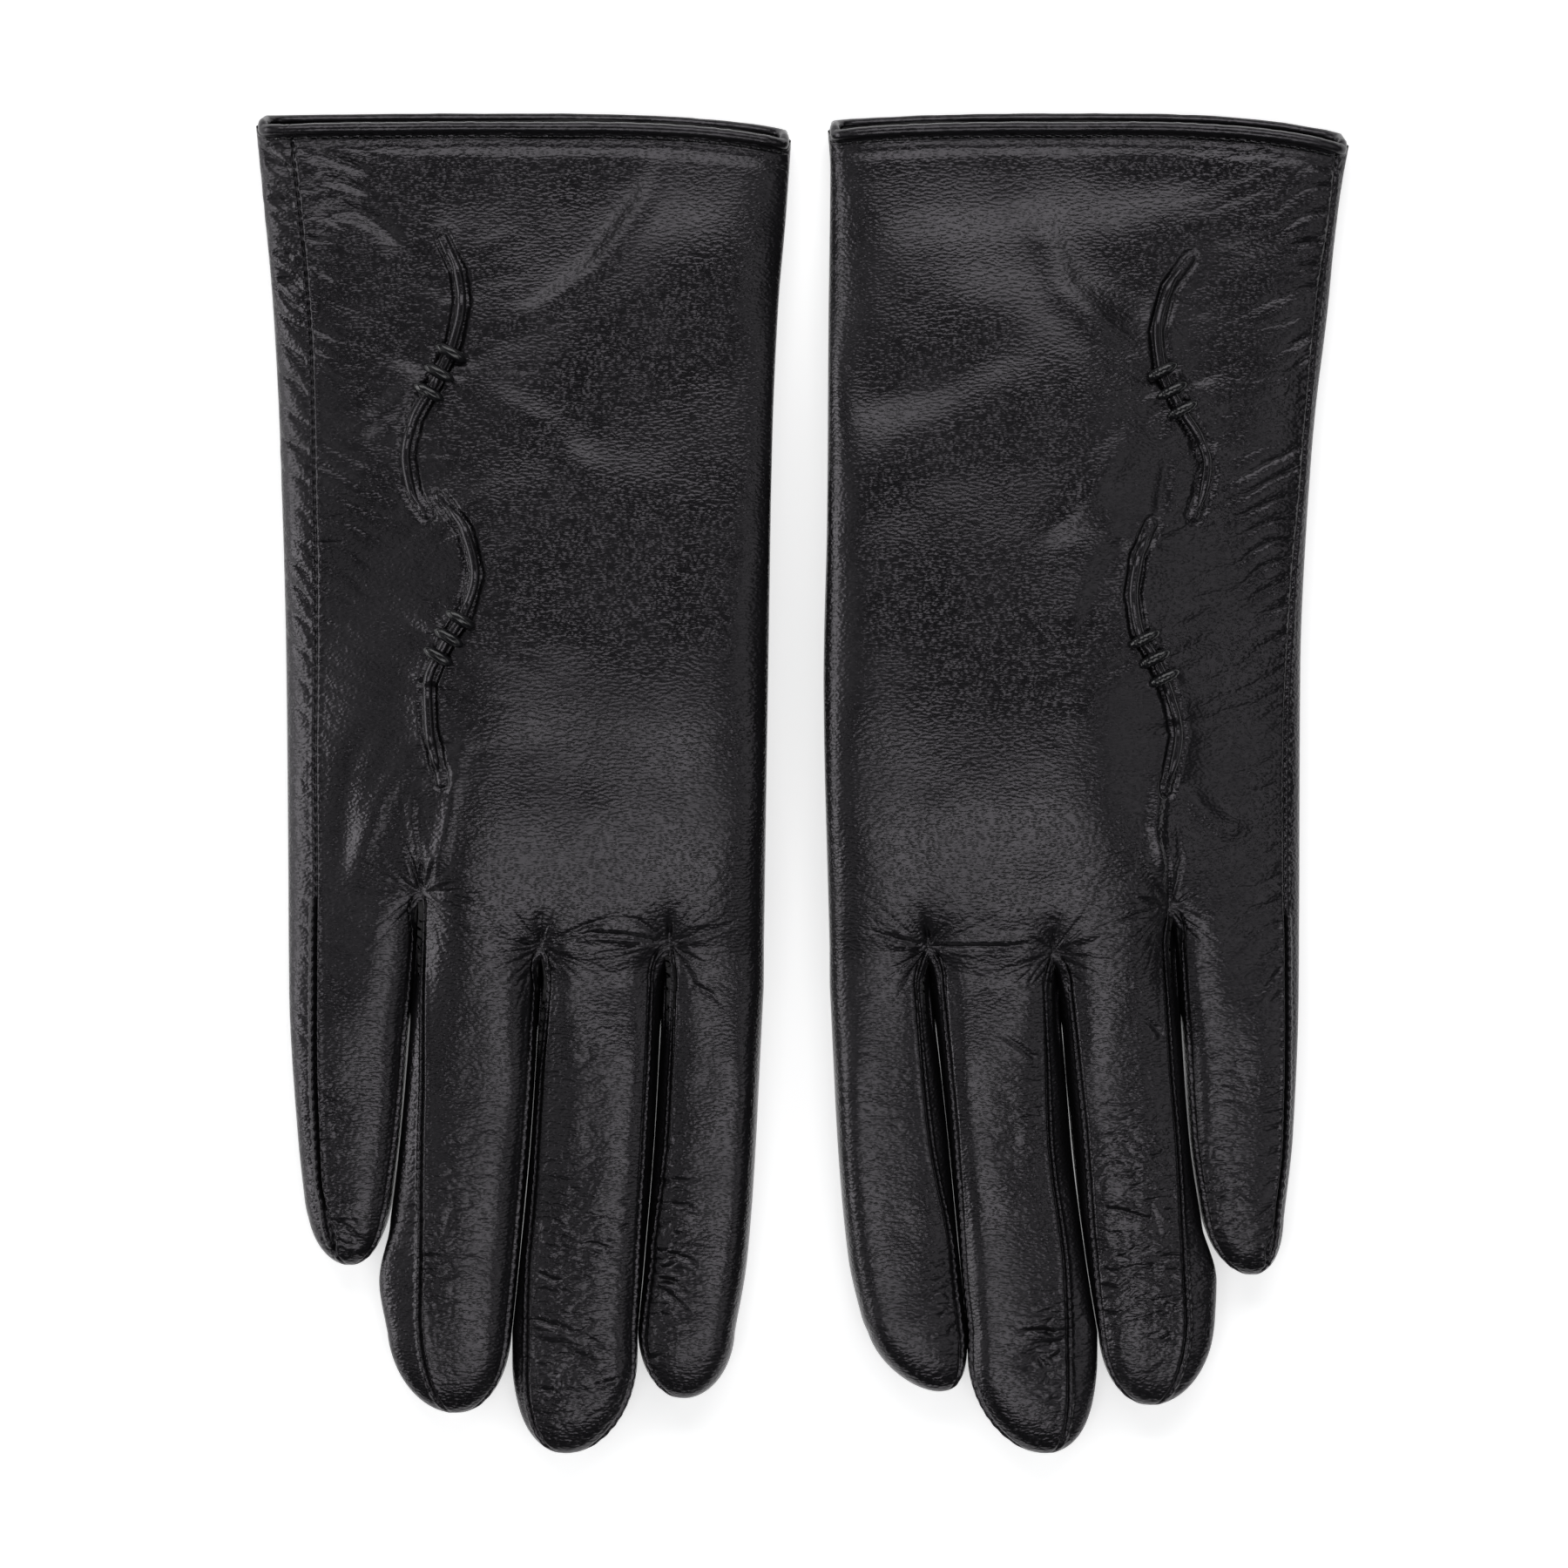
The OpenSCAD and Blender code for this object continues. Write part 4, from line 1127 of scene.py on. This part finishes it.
# %% [markdown]
# ## Relief of the fingers
# Where two strips are sewn together, each edge turns in and the back's edge shows as a thin stitched lip.
# Worn fingers also crease across, most where they bend, so a few soft patches carry fine cross creases.

# %% Finger relief
CREASE_PATCHES = {
    "right": dict(
        index=[((26, -72), (4, 20), 1.0), ((24, -90), (5, 8), 0.8)],
        middle=[((42, -80), (8, 14), 0.7), ((42, -104), (9, 10), 1.0), ((38, -50), (9, 10), 0.3)],
        ring=[((66, -84), (6, 12), 0.7), ((60, -70), (9, 14), 0.25)],
        little=[((82, -80), (4, 5), 1.0), ((84, -60), (4, 8), 0.5)],
    ),
    "left": dict(
        index=[((26, -92), (4, 9), 0.9), ((14, -60), (8, 20), 0.2)],
        middle=[((44, -100), (5, 10), 1.0), ((40, -60), (7, 12), 0.35)],
        ring=[((60, -86), (9, 14), 0.9), ((58, -62), (8, 10), 0.5)],
        little=[((74, -74), (4, 12), 0.6), ((76, -50), (8, 14), 0.2)],
    ),
}
CROSS_CREASE = 0.42


def seam_relief(points, ends, f):
    """A groove at each seam, a stitched bead on the strip's side of it and a soft rise on the panel's side."""
    names = finger_strips(f)
    step = np.linalg.norm(np.roll(points, -1, 1) - points, axis=-1)
    total = step.sum(1, keepdims=True)
    place = np.cumsum(step, axis=1) - step
    relief = np.zeros(place.shape)
    stitches = 1 + 0.3 * np.sin(2 * np.pi * points[..., 1] / STITCH)
    for k, name in enumerate(names):
        after, before = name, names[k - 1]
        if (before, after) in (("side", "palm"), ("palm", "back")):
            continue
        off = place - place[:, ends[k]][:, None]
        off = (off + total / 2) % total - total / 2
        if "palm" in (before, after):
            relief -= 0.3 * bump(off, 0.25)
            continue
        panel = 1 if after == "back" else -1
        relief += 0.34 * bump(off * panel + 0.6, 0.4) * stitches - 0.5 * bump(off, 0.22)
        relief += 0.12 * bump(off * panel - 0.6, 0.5)
    return relief


def finger_relief(side, f, points):
    """Cross creases in the worn patches, and slow dents everywhere."""
    x, y = points[..., 0], points[..., 1]
    seed = 50 + 10 * f
    relief = 0.14 * hills(x / 9, y / 11, seed) + 0.05 * hills(x / 4, y / 4, seed + 1)
    warp = 1.2 * hills(x / 5, y / 6, seed + 2)
    sharp = (1 - np.abs(hills(x / 5, (y + warp) / 1.5, seed + 3))) ** 4
    sharp = sharp + 0.6 * (1 - np.abs(hills(x / 3 + 9, (y - 0.3 * x + warp) / 1.1, seed + 4))) ** 4
    for middle, size, amount in CREASE_PATCHES[side][FINGERS[f]]:
        relief = relief - CROSS_CREASE * amount * sharp * mound(x, y, middle, size)
    return relief


print("creased patches:", sum(len(patches) for side in SIDES for patches in CREASE_PATCHES[side].values()))

# %% [markdown]
# ## Cutting the fingers into pieces
# Each finger's grid is cut into its stall, its fourchettes and, a little deeper, its lining.

# %% Finger pieces
FOURCHETTE_END = 10


def bend_with_finger(piece):
    """Bakes the piece's transform into its mesh."""
    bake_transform(piece)


def close_tip(points):
    """The grid's points with one more row drawn together at the tip, so that the end is closed."""
    tip = np.broadcast_to(points[-1].mean(0), points[-1:].shape)
    return np.concatenate([points, mix(points[-1:], tip, 0.98)])


def dressed_finger(side, f):
    """The points of one finger with all its relief, tied to the hand's own edge, and its normals, which turn
    into the hand's at the join so that the shading runs on."""
    points, full, below, ends = finger_grid(side, f)
    normal = -normals_of(points)
    relief = hand_relief(side, SHAPES[side], points[..., 0], points[..., 1])
    relief = relief + finger_relief(side, f, points) * smooth(0, 6, below)
    raised = seam_relief(points, ends, f) * full * smooth(0, 2.5, below) + relief * np.clip(normal[..., 2], 0, 1)
    points = points + normal * raised[..., None]
    points = points + (first_row(hands[side][0], f) - points[0]) * (1 - smooth(0, 4, below))[..., None]
    points = above_floor(points)
    normal = -normals_of(points)
    of_hand = unit(first_row(hand_normals[side][0], f, 0))
    strip_of = np.repeat(finger_strips(f), np.diff(ends))
    flat = np.isin(strip_of, ("back", "side", "palm"))[:, None]
    normal = unit(np.where(flat, mix(normal, of_hand, (1 - smooth(0, 1, below))[..., None]), normal))
    return points, normal, strip_of


for side in SIDES:
    for f, finger in enumerate(FINGERS):
        skin, normal, strip_of = dressed_finger(side, f)
        points = close_tip(skin)
        shading = np.concatenate([normal, normal[-1:]])
        faces = grid_faces(points, turned=True)
        in_strip = np.zeros(faces.shape[:2], bool)
        for name in finger_strips(f):
            if name in ("outer", "inner"):
                mask = np.zeros(faces.shape[:2], bool)
                mask[:-FOURCHETTE_END, strip_of == name] = True
                in_strip |= mask
                strip = new_piece(f"{side}_{finger}_{name}_fourchette_skin", points, faces[mask], side, nappa, shading)
                bend_with_finger(strip)
                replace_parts(strip, f"{side}_{finger}_{name}_fourchette")
        stall = new_piece(f"{side}_{finger}_stall_skin", points, faces[~in_strip], side, nappa, shading)
        bend_with_finger(stall)
        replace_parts(stall, f"{side}_{finger}_stall", f"{side}_{finger}_knuckle")
        inside = close_tip((skin - LINING_DEPTH * normal)[1:-6:4, ::3])
        lining = new_piece(f"{side}_{finger}_lining_knit", inside, grid_faces(inside, turned=True), side, knit)
        bend_with_finger(lining)
        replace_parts(lining, f"{side}_{finger}_lining")
    print(side, "fingers:", len(FINGERS), "stalls with their fourchettes and linings")

# %% [markdown]
# ## Tubes along a path
# The rolled edge of the cuff, the tuck cords and their wraps are all rounds carried along a path. The
# round stands square to the path, with its own width at each step, and each path lies on the skin.

# %% Tubes
TUBE_SIDES = 14


def ring_points(path, ahead, level, widths, heights, sides):
    """Ring of points at each step: middle + width * cos * level + height * sin * up."""
    up = np.cross(level, ahead)
    turn = 2 * np.pi * np.arange(sides) / sides
    flat = np.cos(turn)[None, :, None] * level[:, None] * np.reshape(widths, (-1, 1, 1))
    high = np.sin(turn)[None, :, None] * up[:, None] * np.reshape(heights, (-1, 1, 1))
    return path[:, None] + flat + high


def path_tube(path, widths, heights, sides):
    """A round carried along an open path that lies about level."""
    ahead = unit(np.gradient(path, axis=0))
    level = unit(np.cross(ahead, (0, 0, 1)))
    return ring_points(path, ahead, level, widths, heights, sides)


def resample(path, count):
    """A smooth curve through given points, as evenly spaced points."""
    path = np.array(path, float)
    place = np.concatenate([[0], np.cumsum(np.hypot(*np.diff(path, axis=0).T))])
    at = np.linspace(0, place[-1], count)
    return np.stack([through(np.stack([place, path[:, k]], axis=1).tolist(), at) for k in range(2)], axis=1)


def on_back(side, flat):
    """Places on the back of a hand, with the relief of the leather."""
    shape = SHAPES[side]
    x, y = flat[..., 0], flat[..., 1]
    inner, width = width_at(shape, y)
    z = hand_surface(shape, (x - inner) / width, y, True)[..., 2] + hand_relief(side, shape, x, y)
    return np.stack([x, y, z], axis=-1)


print("points round a tube:", TUBE_SIDES)

# %% [markdown]
# ## Rolled cuff edge
# The mouth of the cuff is bound with a strip of leather rolled over the edge, so it shows as a shiny bead
# along the back and a second one behind it along the palm. It is a round carried along the hand's last row.

# %% Cuff edge
BINDING_RADIUS, BINDING_LIFT = 1, 0.25
CORNER_PULL, CORNER_PULL_POWER = 1.3, 31
CORNER_SWELL, CORNER_SWELL_POWER = 0.35, 90

for side in SIDES:
    rim = hands[side][-1] + BINDING_LIFT * hand_normals[side][-1]
    inner, width = width_at(SHAPES[side], rim[:, 1])
    off = 2 * (rim[:, 0] - inner) / width - 1
    rim[:, 0] -= CORNER_PULL * signed_power(off, CORNER_PULL_POWER)
    ahead = unit(np.roll(rim, -1, 0) - np.roll(rim, 1, 0))
    level = np.broadcast_to((0.0, 1.0, 0.0), rim.shape)
    level = unit(level - ahead * np.sum(level * ahead, axis=1, keepdims=True))
    radius = BINDING_RADIUS * (1 + 0.07 * hills(rim[:, 0] / 1.3, rim[:, 1], 61))
    wide = radius * (1 + CORNER_SWELL * np.abs(off) ** CORNER_SWELL_POWER)
    points = above_floor(ring_points(rim, ahead, level, wide, radius, TUBE_SIDES))
    faces = np.mod(grid_faces(np.concatenate([points, points[:1]])), len(points) * TUBE_SIDES)
    binding = new_piece(f"{side}_cuff_binding_roll", points, faces, side, edge_nappa)
    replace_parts(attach(binding, f"{side}_hand"), f"{side}_cuff_binding")
    print(side, "cuff edge points:", len(rim))

# %% [markdown]
# ## Hem stitches
# A row of stitches holds the hem below the rolled edge. A stitch is a short, fat thread that dips into the
# leather at both ends. One small shape is repeated along the seam with numpy and kept as one mesh.

# %% Hem stitches
HEM_STITCHES, HEM_STITCH_DROP = 50, 1.5
STITCH_LENGTH, STITCH_WIDTH, STITCH_LIFT = 1.35, 0.45, 0.1
STITCH_TURNS, STITCH_STEPS = 6, 5


def stitch_row(places, ahead, up, length, width):
    """Copies of one stitch: a spindle whose thickness follows half an ellipse, sunk at both ends."""
    along = np.linspace(-1, 1, STITCH_STEPS)
    turn = 2 * np.pi * np.arange(STITCH_TURNS) / STITCH_TURNS
    thick = np.sqrt(np.clip(1.02 - along**2, 0.02, 1)) * width / 2
    sink = -0.35 * width * along**2
    side = unit(np.cross(ahead, up))
    return (
        places[:, None, None]
        + ahead[:, None, None] * (along * length / 2)[None, :, None, None]
        + up[:, None, None] * (sink[:, None] + thick[:, None] * np.sin(turn))[None, ..., None]
        + side[:, None, None] * (thick[:, None] * np.cos(turn))[None, ..., None]
    )


for side in SIDES:
    shape = SHAPES[side]
    share = np.linspace(0.02, 0.98, HEM_STITCHES)
    y = hem_y(shape, share, True) - HEM_STITCH_DROP
    inner, width = width_at(shape, y)
    places = on_back(side, np.stack([inner + share * width, y], axis=-1))
    ahead = unit(np.gradient(places, axis=0))
    up = unit(np.cross(ahead, (0, 1, 0)))
    points = stitch_row(places + STITCH_LIFT * up, ahead, up, STITCH_LENGTH, STITCH_WIDTH)
    stitches = new_piece(f"{side}_hem_stitches", points, copied_faces(points), side, thread)
    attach(stitches, f"{side}_hand")
    print(side, "hem stitches:", len(places))

# %% [markdown]
# ## Corded tucks
# Each tuck is a ridge of leather over a thin cord, in one slow wave, whose ends sink into the back. Three
# wraps of thread bind it in the middle. The ridge is a tube along the wave, and each wrap is a spindle bent
# over the ridge.

# %% Tucks
CORD_STEPS, CORD_RADIUS = 90, 0.85
CORD_SUNK, CORD_PROUD = -0.9, 0.4
WRAP_STEPS, WRAP_SIDES = 25, 12
WRAP_REACH, WRAP_RADIUS = 2.85, 1.05
WRAP_LOW, WRAP_HIGH = 0.5, 1.45


def wrap_bar(side, middle, across):
    """One wrap: a spindle across the ridge, arched as half an ellipse and thin at both ends."""
    t = np.linspace(-1, 1, WRAP_STEPS)
    bar = on_back(side, middle + across * (WRAP_REACH * t)[:, None])
    bar[:, 2] = on_back(side, middle[None])[0, 2] + mix(WRAP_LOW, WRAP_HIGH, np.sqrt(1 - 0.96 * t**2))
    thick = WRAP_RADIUS * (1 - 0.9 * np.abs(t) ** 3) ** 0.6
    return path_tube(bar, thick, thick, WRAP_SIDES)


for side in SIDES:
    for name in ("upper", "lower"):
        path = on_back(side, resample(SHAPES[side]["tucks"][name], CORD_STEPS))
        s = np.linspace(0, 1, CORD_STEPS)
        grown = smooth(0, 0.14, s) * smooth(1, 0.88, s)
        path[:, 2] += mix(CORD_SUNK, CORD_PROUD, grown)
        points = path_tube(path, CORD_RADIUS * mix(0.4, 1, grown), CORD_RADIUS * mix(0.5, 1, grown), TUBE_SIDES)
        cord = new_piece(f"{side}_{name}_tuck_ridge", points, grid_faces(points, turned=True), side, edge_nappa)
        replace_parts(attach(cord, f"{side}_hand"), f"{side}_{name}_tuck_cord")
        middles = np.array(SHAPES[side]["wraps"][name], float)
        run = unit(middles[2] - middles[0])
        rings = np.array([wrap_bar(side, middle, np.array([-run[1], run[0]])) for middle in middles])
        wraps = new_piece(f"{side}_{name}_tuck_bindings", rings, copied_faces(rings, turned=True), side, thread)
        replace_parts(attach(wraps, f"{side}_hand"), f"{side}_{name}_tuck_wraps")
    print(side, "tucks: 2, wraps: 6")

# %% [markdown]
# ## Thumb
# The thumb is folded flat under the palm, so only its edge shows from the side. It is a closed bag joined to
# the palm by a gusset, here a plain collar of leather.

# %% Thumb
THUMB_LENGTH, THUMB_HALF_WIDTH, THUMB_HALF_DEPTH = 66, 11.5, 5
THUMB_BASE, THUMB_MOUTH, THUMB_LEAN = (17.3, 58.2), (19.1, 45.3), np.radians(8)
THUMB_ROUND, THUMB_TIP = 9, 13
THUMB_TAPER, THUMB_COLUMNS = 0.15, 72
COLLAR_RADIUS, COLLAR_LOW, COLLAR_HIGH = 9, 7, 13.5
COLLAR_ROWS, COLLAR_COLUMNS = 14, 64


def thumb_grid(inset):
    """The bag of the thumb: superellipse sections along its leaning middle line, rounded at both ends."""
    d = np.concatenate([
        THUMB_ROUND * (1 - np.cos(np.radians(np.linspace(4, 90, 16)))),
        np.linspace(THUMB_ROUND, THUMB_LENGTH - THUMB_TIP, 60)[1:],
        THUMB_LENGTH - THUMB_TIP * (1 - np.sin(np.radians(np.linspace(0, 87, 24))))[1:],
    ])[:, None]
    base = np.sqrt(np.clip(1 - (1 - np.minimum(d / THUMB_ROUND, 1)) ** 2, 0, 1))
    tip = np.sqrt(np.clip(1 - np.clip((d - THUMB_LENGTH + THUMB_TIP) / THUMB_TIP, 0, 1) ** 2, 0, 1))
    full = np.minimum(base, tip)
    taper = 1 - THUMB_TAPER * d / THUMB_LENGTH
    turn = np.linspace(180, -180, THUMB_COLUMNS, endpoint=False)[None]
    c, s = np.cos(np.radians(turn)), np.sin(np.radians(turn))
    across = (THUMB_HALF_WIDTH * taper - inset) * full * signed_power(c, 2 / SECTION_POWER)
    rise = (THUMB_HALF_DEPTH * taper - inset) * full**TIP_FLATNESS * signed_power(s, 2 / SECTION_POWER)
    x = THUMB_BASE[0] + np.sin(THUMB_LEAN) * d + np.cos(THUMB_LEAN) * across
    y = THUMB_BASE[1] - np.cos(THUMB_LEAN) * d + np.sin(THUMB_LEAN) * across
    points = np.stack([x, y, THUMB_HALF_DEPTH * taper + rise], axis=-1)
    normal = -normals_of(points)
    relief = 0.18 * hills(x / 6, y / 8, 71) + 0.1 * hills(x / 3, y / 2, 72) - 0.4 * bump(turn - 8, 5) * full
    points = above_floor(points + normal * (relief * (inset == 0))[..., None])
    return close_tip(close_tip(points)[::-1])[::-1]


def collar_grid():
    """A round collar from the thumb up to the palm, a little fuller at half its height and gently fluted."""
    z = np.linspace(COLLAR_LOW, COLLAR_HIGH, COLLAR_ROWS)[:, None]
    turn = np.linspace(0, 2 * np.pi, COLLAR_COLUMNS, endpoint=False)[None]
    up = (z - COLLAR_LOW) / (COLLAR_HIGH - COLLAR_LOW)
    swell = COLLAR_RADIUS + 0.5 * np.sin(np.pi * up) + 0.15 * np.sin(9 * turn)
    x, y = THUMB_MOUTH[0] + swell * np.cos(turn), THUMB_MOUTH[1] + swell * np.sin(turn)
    return np.stack([x, y, z + 0 * turn], axis=-1)


for side in SIDES:
    bag = thumb_grid(0)
    thumb = new_piece(f"{side}_thumb_stall_skin", bag, grid_faces(bag, turned=True), side, nappa)
    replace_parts(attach(thumb, f"{side}_thumb"), f"{side}_thumb_stall")
    bag = thumb_grid(LINING_DEPTH)[::2, ::2]
    lining = new_piece(f"{side}_thumb_lining_knit", bag, grid_faces(bag, turned=True), side, knit)
    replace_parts(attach(lining, f"{side}_thumb"), f"{side}_thumb_lining")
    collar = collar_grid()
    gusset = new_piece(f"{side}_thumb_gusset_collar", collar, grid_faces(collar), side, nappa)
    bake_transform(gusset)
    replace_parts(gusset, f"{side}_thumb_gusset")
    print(side, "thumb faces:", len(thumb.data.polygons))

# %% [markdown]
# ## Floor and light
# The pair lies on a plain white sheet. The floor takes a soft shadow, and its own glow for the camera brings
# the lit part up to white. Black leather shows its shape only by what it mirrors, so wide soft lamps stand
# behind the cuffs, above the fingers and at both sides.

# %% Floor and light
FLOOR_HALF = 3.0
SHEET_GLOW = 0.55
SURROUND_COLOR, SURROUND_LIGHT = (0.9, 0.92, 1.0, 1), 0.065
LAMPS = [
    ("cuff_panel", (0.0, 1.27, 1.07), (1.8, 0.9), 15.8),
    ("finger_panel", (0.0, -0.54, 1.61), (1.4, 0.7), 9.2),
    ("left_key", (-1.5, 0.1, 0.42), (1.4, 0.5), 10),
    ("right_fill", (1.2, 0.0, 1.2), (1.4, 0.5), 2.4),
    ("left_fill", (-1.2, 0.0, 1.2), (1.4, 0.5), 1.1),
]


def floor_material():
    """A white sheet: a matt surface for the shadow, and a glow that only the camera, mirrors and glass see."""
    sheet = {
        "Base Color": (0.86, 0.86, 0.86, 1),
        "Roughness": 0.9,
        "Specular IOR Level": 0.1,
        "Emission Color": (1, 1, 1, 1),
    }
    material, tree, shader = new_material("white_sheet", sheet)
    rays = add(tree, "ShaderNodeLightPath").outputs
    seen = rays["Is Camera Ray"]
    for ray in ("Is Glossy Ray", "Is Transmission Ray"):
        seen = add(tree, "ShaderNodeMath", [(0, seen), (1, rays[ray])], operation="MAXIMUM").outputs[0]
    glow = add(tree, "ShaderNodeMath", [(0, seen), (1, SHEET_GLOW)], operation="MULTIPLY")
    tree.links.new(glow.outputs[0], shader.inputs["Emission Strength"])
    return material


corners = np.array([(-1, -1, 0), (1, -1, 0), (1, 1, 0), (-1, 1, 0)], float) * FLOOR_HALF
floor_mesh = bpy.data.meshes.new("floor")
floor_mesh.from_pydata(corners.tolist(), [], [(0, 1, 2, 3)])
floor_mesh.materials.append(floor_material())
floor = link(bpy.data.objects.new("floor", floor_mesh))

for name, place, size, power in LAMPS:
    lamp_data = bpy.data.lights.new(name, "AREA")
    lamp_data.shape = "RECTANGLE"
    lamp_data.size, lamp_data.size_y = size
    lamp_data.energy = power
    lamp = link(bpy.data.objects.new(name, lamp_data))
    lamp.location = place
    lamp.rotation_euler = Vector([-v for v in place]).to_track_quat("-Z", "Y").to_euler()

world = bpy.data.worlds.new("studio")
world.use_nodes = True
background = world.node_tree.nodes["Background"]
background.inputs["Color"].default_value = SURROUND_COLOR
background.inputs["Strength"].default_value = SURROUND_LIGHT
bpy.context.scene.world = world
print("lamps:", len(LAMPS))

# %% [markdown]
# ## Size and finish
# The dressed pair has to stay the size of the jointed model. Here the scene is only brought up to date.

# %% Size and finish
bpy.context.view_layer.update()
